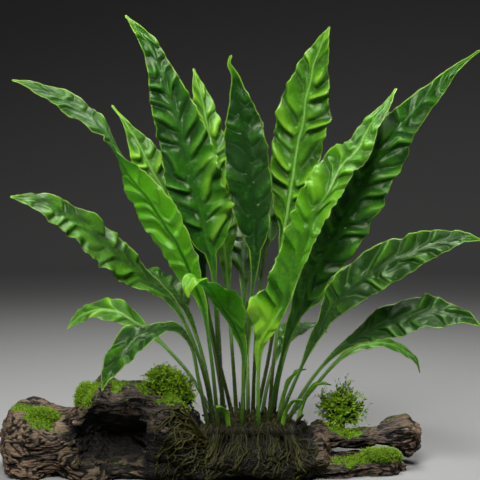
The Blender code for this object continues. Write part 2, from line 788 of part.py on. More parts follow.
def add_root_mat(name, mat, clearances):
    """Adds a mat of roots that fans out from the crown down the side of the log."""
    log = "driftwood_log"
    roots = add_loft(name, limb_rings(log, GAP + ROOT_THICKNESS))
    shape = bmesh.new()
    outline = ((mat.top[0], CROWN_TOP), (mat.top[1], CROWN_TOP), (mat.foot[1], GAP), (mat.foot[0], GAP))
    near = [shape.verts.new(Vector((x, mat.near, z)) * MM) for x, z in outline]
    sheet = shape.faces.new(near)
    ahead = bmesh.ops.extrude_face_region(shape, geom=[sheet])["geom"]
    far = [part for part in ahead if isinstance(part, bmesh.types.BMVert)]
    bmesh.ops.translate(shape, vec=Vector((0.0, (mat.far - mat.near) * MM, 0.0)), verts=far)
    cut(roots, add_object(name + "_fan", shape), "INTERSECT")
    cut(roots, clearances[log], "DIFFERENCE")


def main():
    """Builds the wood first, then what grows on it."""
    clear_scene()
    clearances = {}
    for name in LIMBS:
        add_loft(name, limb_rings(name))
        clearances[name] = add_loft(name + "_clearance", limb_rings(name, GAP))
    for name, mat in ROOT_MATS.items():
        add_root_mat(name, mat, clearances)
    for name, cushion in CUSHIONS.items():
        add_cushion(name, cushion, clearances)
    for name, strand in RHIZOMES.items():
        add_rhizome(name, *strand)
    for name, frond in SHOWN_FRONDS.items():
        add_shown_frond(name, frond)
    for name, arch in ARCHING_FRONDS.items():
        add_arching_frond(name, arch)


main()
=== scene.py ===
"""The looks of a java fern that has grown fast to a piece of driftwood.

Sizes are in millimetres and turn into metres where a mesh is made. +Z is up, the front is
towards -Y, and the origin is on the flat underside of the wood, below the fern's crown.
"""

import logging
import math
from collections.abc import Iterable
from dataclasses import dataclass
from dataclasses import field
from enum import Enum

import bpy
import numpy as np
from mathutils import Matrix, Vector


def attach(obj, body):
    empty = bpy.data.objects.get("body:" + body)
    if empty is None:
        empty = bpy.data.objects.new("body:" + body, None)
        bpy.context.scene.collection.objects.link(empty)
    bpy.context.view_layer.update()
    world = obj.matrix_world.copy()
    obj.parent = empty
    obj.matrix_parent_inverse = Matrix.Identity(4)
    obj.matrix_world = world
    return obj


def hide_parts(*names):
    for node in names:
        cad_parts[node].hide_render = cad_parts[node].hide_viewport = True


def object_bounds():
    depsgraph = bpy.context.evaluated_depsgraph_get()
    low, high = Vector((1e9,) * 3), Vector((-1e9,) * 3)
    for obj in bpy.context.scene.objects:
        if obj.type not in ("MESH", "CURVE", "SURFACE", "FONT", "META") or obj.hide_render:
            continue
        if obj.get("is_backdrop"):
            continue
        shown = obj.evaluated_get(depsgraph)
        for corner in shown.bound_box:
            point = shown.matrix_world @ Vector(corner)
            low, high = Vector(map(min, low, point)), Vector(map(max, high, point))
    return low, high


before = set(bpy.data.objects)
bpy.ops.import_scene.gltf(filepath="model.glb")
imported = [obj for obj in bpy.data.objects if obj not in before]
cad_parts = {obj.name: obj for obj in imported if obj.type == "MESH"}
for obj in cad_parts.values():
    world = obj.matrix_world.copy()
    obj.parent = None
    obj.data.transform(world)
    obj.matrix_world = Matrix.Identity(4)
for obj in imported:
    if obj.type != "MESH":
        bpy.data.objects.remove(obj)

CAD_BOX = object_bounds()
LOG = logging.getLogger("java_fern")

Array = np.ndarray
Colour = tuple[float, float, float]
Place = tuple[float, float, float]
Thing = bpy.types.Object
Material = bpy.types.Material
Tree = bpy.types.NodeTree
Node = bpy.types.Node
Socket = bpy.types.NodeSocket

MM = 0.001
BODY = "root"
VECTOR_MATHS = "ShaderNodeVectorMath"
UP = np.array([0.0, 0.0, 1.0])

# The front view in which the fronds are set out
VIEW_DISTANCE = 800.0
VIEW_HEIGHT = 137.0
VIEW_PITCH = math.radians(4.0)


# Numbers


def unit(vectors: Array) -> Array:
    """The vectors, each at length one."""
    return vectors / np.maximum(np.linalg.norm(vectors, axis=-1, keepdims=True), 1e-9)


def ease(low: float, high: float, value: Array) -> Array:
    """Rises smoothly from 0 at low to 1 at high."""
    t = np.clip((value - low) / (high - low), 0.0, 1.0)
    return t * t * (3.0 - 2.0 * t)


def blend(first: Array, second: Array, share: Array) -> Array:
    """Goes from the first to the second as the share goes from 0 to 1."""
    return first + (second - first) * share


def stack(*parts: Array | float) -> Array:
    """Puts numbers or arrays of numbers together, so that each place has a row of them."""
    return np.stack(np.broadcast_arrays(*parts), axis=-1)


GRADIENTS = unit(np.random.default_rng(7).normal(size=(128, 3)))
CELL_PRIMES = np.array([73856093, 19349663, 83492791])
NOISE_GAIN = 1.7


def noise(points: Array, seed: int = 0) -> Array:
    """Smooth noise between about -1 and 1.

    Args:
        points: Places, in units of the noise's grain, with x, y and z last.
        seed: Which of many noises.

    Returns:
        One value for each place.
    """
    cells = np.floor(points).astype(np.int64)
    parts = points - cells
    fades = parts**3 * (parts * (parts * 6.0 - 15.0) + 10.0)
    total = np.zeros(points.shape[:-1])
    for corner in np.ndindex(2, 2, 2):
        picks = np.bitwise_xor.reduce((cells + corner) * CELL_PRIMES, axis=-1) ^ (seed * 7919 + 17)
        picks = (picks ^ (picks >> 13)) * 1274126177
        slopes = GRADIENTS[((picks ^ (picks >> 16)) % len(GRADIENTS))]
        weight = np.prod(np.where(corner, fades, 1.0 - fades), axis=-1)
        total += weight * np.sum(slopes * (parts - corner), axis=-1)
    return total * NOISE_GAIN


def noise_at(seed: int, *parts: Array | float) -> Array:
    """Noise at places that are given as x, y and z."""
    return noise(stack(*parts), seed)


def chance(cells: Array, seed: int) -> Array:
    """A steady random value from 0 to 1 for each whole number."""
    mixed = (cells.astype(np.int64) * 2654435 + seed * 40503) & 0xFFFFFF
    return ((mixed * 1103515 + 12345) >> 5 & 0xFFFF) / 65535.0


def smooth_rows(rows: Array, steps: int) -> Array:
    """Rows along a smooth curve through the given rows.

    Args:
        rows: The given rows. The first three values of each are a place.
        steps: How many rows to make between two given ones.

    Returns:
        The finer rows.
    """
    gaps = np.linalg.norm(np.diff(rows[:, :3], axis=0), axis=1)[:, None]
    slopes = np.diff(rows, axis=0) / gaps
    inner = (slopes[:-1] * gaps[1:] + slopes[1:] * gaps[:-1]) / (gaps[:-1] + gaps[1:])
    tangents = np.concatenate([slopes[:1], inner, slopes[-1:]])
    t = (np.arange(steps) / steps)[None, :, None]
    start, leave = 2 * t**3 - 3 * t**2 + 1, t**3 - 2 * t**2 + t
    stop, arrive = 3 * t**2 - 2 * t**3, t**3 - t**2
    reach = gaps[:, None]
    fine = rows[:-1, None] * start + tangents[:-1, None] * reach * leave
    fine = fine + rows[1:, None] * stop + tangents[1:, None] * reach * arrive
    return np.concatenate([fine.reshape(-1, rows.shape[1]), rows[-1:]])


def turns(count: int) -> Array:
    """Angles at even steps round a circle."""
    return np.arange(count) * 2.0 * math.pi / count


def read_rows(rows: Array, at: Array, stations: Array) -> Array:
    """The rows at the stations, where at says how far along each row is."""
    return stack(*(np.interp(stations, at, column) for column in rows.T))


def seen_at(across: float, up: float, depth: float) -> Array:
    """The point at a depth that the front view shows at a place of the crown's plane.

    Args:
        across: The place's distance to the right.
        up: Its height.
        depth: How far behind that plane the point is.

    Returns:
        The point.
    """
    sine, cosine = math.sin(VIEW_PITCH), math.cos(VIEW_PITCH)
    height = up - VIEW_HEIGHT
    lift = height * (1.0 + depth * cosine / VIEW_DISTANCE) - depth * sine
    lift /= cosine + height * sine / VIEW_DISTANCE
    spread = 1.0 + (depth * cosine - lift * sine) / VIEW_DISTANCE
    return np.array([across * spread, depth, VIEW_HEIGHT + lift])


# Meshes


def new_object(name: str, data: bpy.types.ID) -> Thing:
    """A new object of the scene with the given mesh, lamp or camera."""
    thing = bpy.data.objects.new(name, data)
    bpy.context.scene.collection.objects.link(thing)
    return thing


def set_marks(mesh: bpy.types.Mesh, marks: dict[str, Array]) -> None:
    """Gives the points of a mesh named values.

    Args:
        mesh: The mesh.
        marks: One number or three for each point, by name.
    """
    for name, values in marks.items():
        triple = values.ndim > 1
        layer = mesh.attributes.new(name, "FLOAT_VECTOR" if triple else "FLOAT", "POINT")
        layer.data.foreach_set("vector" if triple else "value", values.astype(np.float32).ravel())


def mesh_object(name: str, points: Array, faces: list[Array], marks: dict[str, Array]) -> Thing:
    """Makes an object from points and faces, with its faces turned outwards.

    Args:
        name: The object's name.
        points: The points, in millimetres.
        faces: Groups of faces with the same number of corners, one array a group.
        marks: Named values for the points, one number or three for each.

    Returns:
        The new object, in the scene.
    """
    volume = 0.0
    for group in faces:
        for i in range(1, group.shape[1] - 1):
            a, b, c = points[group[:, 0]], points[group[:, i]], points[group[:, i + 1]]
            volume += np.sum(np.cross(a, b) * c)
    way = -1 if volume < 0.0 else 1
    mesh = bpy.data.meshes.new(name)
    corners = [face for group in faces for face in group[:, ::way].tolist()]
    mesh.from_pydata((points * MM).tolist(), [], corners)
    mesh.shade_smooth()
    set_marks(mesh, marks)
    return new_object(name, mesh)


def tube_faces(count: int, sides: int) -> list[Array]:
    """The faces of a closed tube of rings, with a flat cap at each end.

    Args:
        count: How many rings there are.
        sides: How many points a ring has.

    Returns:
        Groups of faces: the sides, the first cap and the last.
    """
    index = np.arange(count * sides).reshape(count, sides)
    after = np.roll(index, -1, axis=1)
    quads = stack(index[:-1], after[:-1], after[1:], index[1:]).reshape(-1, 4)
    return [quads, index[:1, ::-1], index[-1:]]


def skin(name: str, rings: Array, marks: dict[str, Array]) -> Thing:
    """Makes a closed object that runs through rings of points.

    Args:
        name: The object's name.
        rings: Points as rings by sides by x, y and z, in millimetres.
        marks: Named values for the points, as rings by sides, or with three values for each.

    Returns:
        The new object.
    """
    count, sides = rings.shape[:2]
    flat = {mark: values.reshape(count * sides, *values.shape[2:]) for mark, values in marks.items()}
    return mesh_object(name, rings.reshape(-1, 3), tube_faces(count, sides), flat)


def set_in_place(piece: Thing, node: str, slot: str) -> None:
    """Lets a piece stand for a solid of the frame.

    Args:
        piece: The finished piece.
        node: The solid that it stands for.
        slot: The name of its material slot, which is not used.
    """
    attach(piece, BODY)
    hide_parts(node)
    LOG.info("%s stands for %s with %d faces", piece.name, node, len(piece.data.polygons))


# Node trees


class Signal:
    """A value that runs through a node tree, with arithmetic on it."""

    def __init__(self, socket: Socket) -> None:
        """Takes the output socket that the value comes from."""
        self.socket = socket
        self.tree = socket.id_data

    def maths(self, operation: str, *others: "Signal | float") -> "Signal":
        """The result of a Math node on this value and the others."""
        return calculate(self.tree, "ShaderNodeMath", operation, self, *others)

    def __add__(self, other: "Signal | float") -> "Signal":
        """The sum."""
        return self.maths("ADD", other)

    def __sub__(self, other: "Signal | float") -> "Signal":
        """The difference."""
        return self.maths("SUBTRACT", other)

    def __mul__(self, other: "Signal | float") -> "Signal":
        """The product."""
        return self.maths("MULTIPLY", other)

    def __abs__(self) -> "Signal":
        """The value without its sign."""
        return self.maths("ABSOLUTE")

    def clamp(self) -> "Signal":
        """The value kept from 0 to 1."""
        held = self + 0.0
        held.socket.node.use_clamp = True
        return held

    def rise(self, low: float, high: float) -> "Signal":
        """Goes smoothly from 0 at low to 1 at high, and down again if low is above high."""
        start, stop = (0.0, 1.0) if low < high else (1.0, 0.0)
        ends = {"From_Min": min(low, high), "From_Max": max(low, high), "To_Min": start, "To_Max": stop}
        smooth = {"interpolation_type": "SMOOTHSTEP"}
        return flow(self.tree, "ShaderNodeMapRange", "Result", smooth, Value=self, **ends)

    def mix(self, first: "Signal | Colour", second: "Signal | Colour") -> "Signal":
        """The first colour where this value is 0 and the second where it is 1."""
        shades = {"Factor": self, "A": first, "B": second}
        return flow(self.tree, "ShaderNodeMix", "Result", {"data_type": "RGBA"}, **shades)


def plug(socket: Socket, value: Signal | Colour | object) -> None:
    """Feeds a socket with a running value, or sets it to a fixed one.

    Args:
        socket: The socket.
        value: The value.
    """
    if isinstance(value, Signal):
        socket.id_data.links.new(value.socket, socket)
    elif socket.type == "RGBA":
        socket.default_value = (*value[:3], 1.0)
    else:
        socket.default_value = value


def pick(sockets: Iterable[Socket], name: str) -> Socket:
    """The socket of a name that is in use."""
    return next(socket for socket in sockets if socket.name == name and socket.enabled)


def feed(node: Node, **inputs: object) -> None:
    """Feeds a node's sockets, with _ for each space in a socket's name."""
    for name, value in inputs.items():
        plug(pick(node.inputs, name.replace("_", " ")), value)


def put(tree: Tree, kind: str, setup: dict[str, object] | None = None, **inputs: object) -> Node:
    """Adds a node to a tree.

    Args:
        tree: The tree.
        kind: The node's type.
        setup: The node's own settings.
        inputs: Values for its sockets, with _ for each space in a socket's name.

    Returns:
        The new node.
    """
    node = tree.nodes.new(kind)
    for name, value in (setup or {}).items():
        setattr(node, name, value)
    feed(node, **inputs)
    return node


def out(node: Node, name: str) -> Signal:
    """One of a node's outputs."""
    return Signal(pick(node.outputs, name))


def flow(tree: Tree, kind: str, output: str, setup: dict | None = None, **inputs: object) -> Signal:
    """One output of a new node, with its settings and inputs as for put."""
    return out(put(tree, kind, setup, **inputs), output)


def calculate(tree: Tree, kind: str, operation: str, *values: Signal | float | Place) -> Signal:
    """The result of a Math or Vector Math node on the values.

    Args:
        tree: The tree.
        kind: The node's type.
        operation: What it works out.
        values: What it works with, running or fixed.

    Returns:
        The result.
    """
    node = put(tree, kind, {"operation": operation})
    for socket, value in zip(node.inputs, values):
        plug(socket, value)
    return Signal(node.outputs[0])


def split(vector: Signal) -> list[Signal]:
    """The three parts of a vector."""
    return [Signal(socket) for socket in put(vector.tree, "ShaderNodeSeparateXYZ", Vector=vector).outputs]


def mark(tree: Tree, name: str, output: str = "Fac") -> Signal:
    """A named value of the mesh's points, as a number, or as three with output Vector."""
    return flow(tree, "ShaderNodeAttribute", output, {"attribute_name": name})


class SharedGroup:
    """A shader node group with named inputs and one named output, built once."""

    SOCKETS = {float: "NodeSocketFloat", Vector: "NodeSocketVector"}

    def __init__(self, name: str, gives: str, **takes: float | Vector) -> None:
        """Makes the group's sockets.

        Args:
            name: The group's name.
            gives: The name of its output, which is a number.
            takes: Its inputs, with their usual values.
        """
        self.tree = bpy.data.node_groups.new(name, "ShaderNodeTree")
        self.gives = gives
        for label, value in takes.items():
            kind = self.SOCKETS[type(value)]
            self.tree.interface.new_socket(label, in_out="INPUT", socket_type=kind).default_value = value
        self.tree.interface.new_socket(gives, in_out="OUTPUT", socket_type="NodeSocketFloat")
        self.source = self.tree.nodes.new("NodeGroupInput")

    def taken(self, label: str) -> Signal:
        """One of the group's inputs, to build with."""
        return Signal(self.source.outputs[label])

    def end(self, value: Signal) -> "SharedGroup":
        """Feeds the group's output, and gives back the group."""
        plug(self.tree.nodes.new("NodeGroupOutput").inputs[self.gives], value)
        return self

    def cloud(self, change: str, by: str, detail: float, roughness: float) -> Signal:
        """Noise in the piece's own coordinates, with a grain of the group's input Size.

        Args:
            change: The vector operation that changes the coordinates.
            by: The group's input that they are changed by.
            detail: How many finer grains there are.
            roughness: How strong the finer ones are.

        Returns:
            The noise, from 0 to 1.
        """
        own = flow(self.tree, "ShaderNodeTexCoord", "Object")
        places = calculate(self.tree, VECTOR_MATHS, change, own, self.taken(by))
        sized = {"Scale": self.taken("Size").maths("POWER", -1.0), "Detail": detail, "Roughness": roughness}
        return flow(self.tree, "ShaderNodeTexNoise", "Fac", Vector=places, **sized)

    def use(self, tree: Tree, **inputs: float | Place) -> Signal:
        """The group's output in a material's tree, with the material's own values."""
        return flow(tree, "ShaderNodeGroup", self.gives, {"node_tree": self.tree}, **inputs)


def build_mottle() -> SharedGroup:
    """Soft uneven patches, from 0 to 1, with their size, their share and how soft they are.

    Returns:
        The group.
    """
    group = SharedGroup("mottle", "Patches", Size=0.01, Share=0.5, Softness=0.2, Shift=0.0)
    softness = group.taken("Softness")
    level = group.cloud("ADD", "Shift", 4.0, 0.6) + group.taken("Share") - 1.0
    return group.end((level + softness).maths("DIVIDE", softness * 2.0).clamp())


def build_grit() -> SharedGroup:
    """Heights of fine grains and pits, with their size and how they are stretched."""
    group = SharedGroup("grit", "Height", Size=0.001, Stretch=Vector((1.0, 1.0, 1.0)))
    return group.end(group.cloud("DIVIDE", "Stretch", 3.0, 0.5))


MOTTLE = build_mottle()
GRIT = build_grit()


def new_material(name: str) -> tuple[Material, Tree, Node]:
    """A material with its node tree and its Principled shader."""
    material = bpy.data.materials.new(name)
    material.use_nodes = True
    tree = material.node_tree
    return material, tree, tree.nodes["Principled BSDF"]


def bump(tree: Tree, height: Signal, distance: float, strength: float = 1.0) -> Signal:
    """A normal from heights from 0 to 1, over a distance in metres."""
    return flow(tree, "ShaderNodeBump", "Normal", Height=height, Distance=distance, Strength=strength)


def let_light_through(shader: Node, clearness: float, **sheer: Signal) -> None:
    """Lets a share of the light shine through a thin leaf.

    Args:
        shader: The material's Principled shader.
        clearness: The share.
        sheer: The colour and the normal of the light that comes through.
    """
    tree = shader.id_data
    through = put(tree, "ShaderNodeBsdfTranslucent", **sheer)
    both = put(tree, "ShaderNodeMixShader")
    for socket, value in zip(both.inputs, (clearness, Signal(shader.outputs[0]), Signal(through.outputs[0]))):
        plug(socket, value)
    plug(tree.nodes["Material Output"].inputs["Surface"], Signal(both.outputs[0]))


# Finishes

STALK_FOOT = (0.030, 0.026, 0.006)
FROND_TIP = (0.24, 0.50, 0.02)
FROND_GLOSS = (0.78, 1.0, 0.62)  # the gloss of a leaf takes on some of its green


@dataclass(frozen=True)
class FrondFinish:
    """The finish of a frond: leathery and glossy, with a rib, side veins and a net of fine ones."""

    name: str
    slot: str
    deep: Colour
    fresh: Colour
    under: Colour
    rib: Colour
    rib_under_shade: Colour
    rim: Colour
    glow: Colour
    roughness: float = 0.25
    clearness: float = 0.35

    def build(self) -> Material:
        """Makes the material.

        Returns:
            The material, which reads the marks place, leaf and tone of a frond's mesh.
        """
        material, tree, shader = new_material(self.name)
        across, along, phase = split(mark(tree, "place", "Vector"))
        upper, half, opened = split(mark(tree, "leaf", "Vector"))
        tone = mark(tree, "tone")
        reach = abs(across)
        gap = abs(phase.maths("FRACT") - 0.5) * -1.0 + 0.5
        vein = gap.rise(0.075, 0.02) * reach.rise(0.3, 1.2) * opened
        ribbed = (reach + along * 0.004).rise(1.1, 0.6) * opened
        rim = (half - reach).rise(0.85, 0.25) * opened
        patch = MOTTLE.use(tree, Size=0.012)
        speck = MOTTLE.use(tree, Size=0.0022, Softness=0.25)
        flat = flow(tree, "ShaderNodeCombineXYZ", "Vector", X=across * 0.42, Y=along * 0.42)
        edges = {"feature": "DISTANCE_TO_EDGE", "voronoi_dimensions": "2D"}
        cells = flow(tree, "ShaderNodeTexVoronoi", "Distance", edges, Vector=flat).rise(0.0, 0.16)
        # The tone carries painted light and shade, so places painted as lit come out fresher green with paler
        # ribs, and places painted in shade come out deeper green.
        fresh = (tone + (patch - 0.5) * 0.45 + (speck - 0.5) * 0.5 + gap * 0.35 - 0.1).clamp()
        top = fresh.mix(self.deep, self.fresh)
        top = (vein * 0.18).mix(top, self.rib)
        top = ((cells * -1.0 + 1.0) * 0.10).mix(top, self.rib)
        top = (ribbed * tone.rise(0.3, 0.7) * 0.85).mix(top, self.rib)
        below = (fresh * 0.6 + 0.2).mix(self.fresh, self.under)
        below = (vein * 0.45).mix(below, self.deep)
        # The midrib below is painted dark, as the shade that it casts against light shining through the
        # blade.
        below = (ribbed * 0.95).mix(below, self.rib_under_shade)
        skin_colour = upper.rise(0.4, 0.6).mix(below, top)
        skin_colour = (rim * 0.8).mix(skin_colour, self.rim)
        skin_colour = (tone.rise(0.75, 1.5) * 0.85).mix(skin_colour, FROND_TIP)
        stalk = along.rise(-5.0, -65.0).mix(self.rib, STALK_FOOT)
        stalk = (patch * 0.5).mix(stalk, self.deep)
        colour = opened.mix(stalk, skin_colour)
        rough = speck * 0.10 + patch * 0.06 + (self.roughness - 0.08)
        relief = cells * 0.25 + GRIT.use(tree, Size=0.0006) * 0.08 + speck * 0.25 + vein * -0.4
        normal = bump(tree, relief, 0.0005)
        feed(shader, Base_Color=colour, Roughness=rough, Specular_IOR_Level=0.55, Normal=normal)
        feed(shader, Specular_Tint=FROND_GLOSS)
        sheer = (fresh * 0.5 + 0.3).mix(self.fresh, self.glow)
        let_light_through(shader, self.clearness, Color=sheer, Normal=normal)
        return material


class Tone(Enum):
    """How a frond is coloured: its age, and painted light, as lit and shaded copies of one green for fronds
    that light shines through and fronds that lie in shade.
    """

    DARK = FrondFinish(
        name="frond_shaded_green", slot="frond_dark",
        deep=(0.002, 0.024, 0.001), fresh=(0.024, 0.14, 0.001), under=(0.055, 0.25, 0.003),
        rib=(0.05, 0.18, 0.012), rib_under_shade=(0.008, 0.04, 0.002), rim=(0.24, 0.46, 0.03),
        glow=(0.07, 0.40, 0.001),
    )
    MIDDLE = FrondFinish(
        name="frond_green", slot="frond",
        deep=(0.004, 0.030, 0.001), fresh=(0.066, 0.23, 0.002), under=(0.062, 0.26, 0.003),
        rib=(0.20, 0.40, 0.08), rib_under_shade=(0.010, 0.05, 0.002), rim=(0.26, 0.46, 0.06),
        glow=(0.13, 0.50, 0.003),
    )
    LIT = FrondFinish(
        name="frond_lit_green", slot="frond_lit",
        deep=(0.007, 0.046, 0.001), fresh=(0.078, 0.28, 0.001), under=(0.068, 0.31, 0.002),
        rib=(0.22, 0.42, 0.07), rib_under_shade=(0.006, 0.04, 0.002), rim=(0.34, 0.54, 0.09),
        glow=(0.17, 0.60, 0.002), clearness=0.42,
    )
    YOUNG = FrondFinish(
        name="frond_young_green", slot="frond_young",
        deep=(0.02, 0.10, 0.003), fresh=(0.07, 0.20, 0.003), under=(0.14, 0.32, 0.01),
        rib=(0.14, 0.28, 0.03), rib_under_shade=(0.05, 0.16, 0.01), rim=(0.22, 0.40, 0.05),
        glow=(0.30, 0.60, 0.01), clearness=0.4,
    )


@dataclass(frozen=True)
class WoodFinish:
    """The finish of the driftwood: pale and pinkish where it is bare, with painted shade in its cracks and
    hollows, with algae.
    """

    name: str = "driftwood_grain"
    pale: Colour = (0.130, 0.085, 0.056)
    dark: Colour = (0.016, 0.010, 0.007)
    # The colour of painted shade in cracks and hollows
    crack: Colour = (0.003, 0.002, 0.0015)
    algae: Colour = (0.030, 0.031, 0.006)
    moss: Colour = (0.045, 0.070, 0.005)

    def build(self) -> Material:
        """Makes the material.

        Returns:
            The material, which reads the marks pale, depth and moss of the wood's mesh.
        """
        material, tree, shader = new_material(self.name)
        pale, depth, green = (mark(tree, name) for name in ("pale", "depth", "moss"))
        streak = GRIT.use(tree, Size=0.0019, Stretch=(7.0, 1.0, 1.0))
        fibre = GRIT.use(tree, Size=0.0008, Stretch=(8.0, 1.0, 1.0))
        pebble = GRIT.use(tree, Size=0.0015, Stretch=(1.6, 1.0, 1.0))
        patch = MOTTLE.use(tree, Size=0.011)
        film = MOTTLE.use(tree, Size=0.019, Share=0.48, Softness=0.12, Shift=0.3)
        bare = (pale + (streak - 0.5) * 1.6 + (pebble - 0.5) * 1.0 + (patch - 0.5) * 0.35).clamp()
        colour = bare.mix(self.dark, self.pale)
        colour = (film * 0.35).mix(colour, self.algae)
        # Painted shade: near black in cracks, the hollow, the pocket and where the fern and its roots shade
        # the wood.
        colour = depth.rise(0.06, 0.52).mix(colour, self.crack)
        mossy = (green + (streak - 0.5) * 2.4 + (pebble - 0.5) * 1.8).rise(0.35, 0.95) * 0.75
        colour = mossy.mix(colour, self.moss)
        normal = bump(tree, streak + fibre * 0.6 + pebble * 0.6, 0.0022)
        feed(shader, Base_Color=colour, Roughness=streak * 0.3 + 0.45, Specular_IOR_Level=0.14, Normal=normal)
        return material


@dataclass(frozen=True)
class FuzzFinish:
    """The finish of roots, rhizome or moss, from a shade at the foot of a strand to one at its tip."""

    name: str
    foot: Colour
    tip: Colour
    other: Colour
    roughness: float = 0.8
    clearness: float = 0.0

    def build(self) -> Material:
        """Makes the material.

        Returns:
            The material, which reads the marks reach and tone of the strands.
        """
        material, tree, shader = new_material(self.name)
        reach, tone = mark(tree, "reach"), mark(tree, "tone")
        patch = MOTTLE.use(tree, Size=0.006, Softness=0.25)
        grain = GRIT.use(tree, Size=0.0007)
        tip = (tone * 0.8 + patch * 0.4 - 0.1).clamp().mix(self.tip, self.other)
        colour = (reach + (grain - 0.5) * 0.4).clamp().mix(self.foot, tip)
        rough = grain * 0.2 + (self.roughness - 0.1)
        normal = bump(tree, grain, 0.0003, 0.6)
        feed(shader, Base_Color=colour, Roughness=rough, Specular_IOR_Level=0.12, Normal=normal)
        if self.clearness:
            let_light_through(shader, self.clearness, Color=colour)
        return material


# Fronds


@dataclass(frozen=True)
class FrondShape:
    """The sizes that every frond shares."""

    stalk_radius: float = 0.95
    heel_radius: float = 1.25
    sunk: float = 2.6  # how far the heel runs down into the rhizome
    tissue: float = 0.17  # half the thickness of the blade between its veins
    rib_high: float = 0.34
    rib_low: float = 0.62
    rib_wide: float = 0.85
    tip: float = 0.12
    keel: float = 0.10
    vein_gap: float = 12.2
    vein_slant: float = 0.62
    vein_sweep: float = 0.012
    vein_low: float = 0.16  # how far a side vein stands out below
    swelling: float = 3.4
    bubble: float = 0.7  # how high the smaller bumps stand between the side veins
    scallop: float = 0.03
    notch: float = 0.075  # how uneven the outline is between the scallops
    lobe: float = 0.07  # how much the outline swings over a few side veins
    lobe_gap: float = 12.5  # from one lobe of a frill to the next
    roll: float = 0.22  # how far the blade rolls to either side, as an angle
    tip_round: float = 0.9
    wiggle: float = 1.1  # how far the midrib strays from its smooth line
    ring_gap: float = 0.95
    most_blade_rings: int = 190
    stalk_gap: float = 3.5
    least_stalk_rings: int = 8
    opens_over: float = 7.0
    wing: float = 3.8  # half the width of the blade where it runs out along the stalk
    wing_long: float = 54.0
    stalk_flat: float = 1.15  # how much wider than thick the stalk is


SHAPE = FrondShape()
ROW_STEPS = 24


@dataclass(frozen=True)
class Course:
    """The rings of a frond, from below its heel to its tip."""

    stations: Array  # how far each is from the heel
    foot: float  # how far the foot of the blade is from it
    whole: float  # how far the tip is from it
    centre: Array  # the middle of each ring
    side: Array  # the way to its right
    up: Array  # the way that its upper side faces
    halves: Array  # the half widths drawn for it, to the left and to the right

    @property
    def along(self) -> Array:
        """How far each ring is past the foot of the blade, as a column."""
        return (self.stations - self.foot)[:, None]

    @property
    def share(self) -> Array:
        """The same, as a share of the blade."""
        return self.along / (self.whole - self.foot)


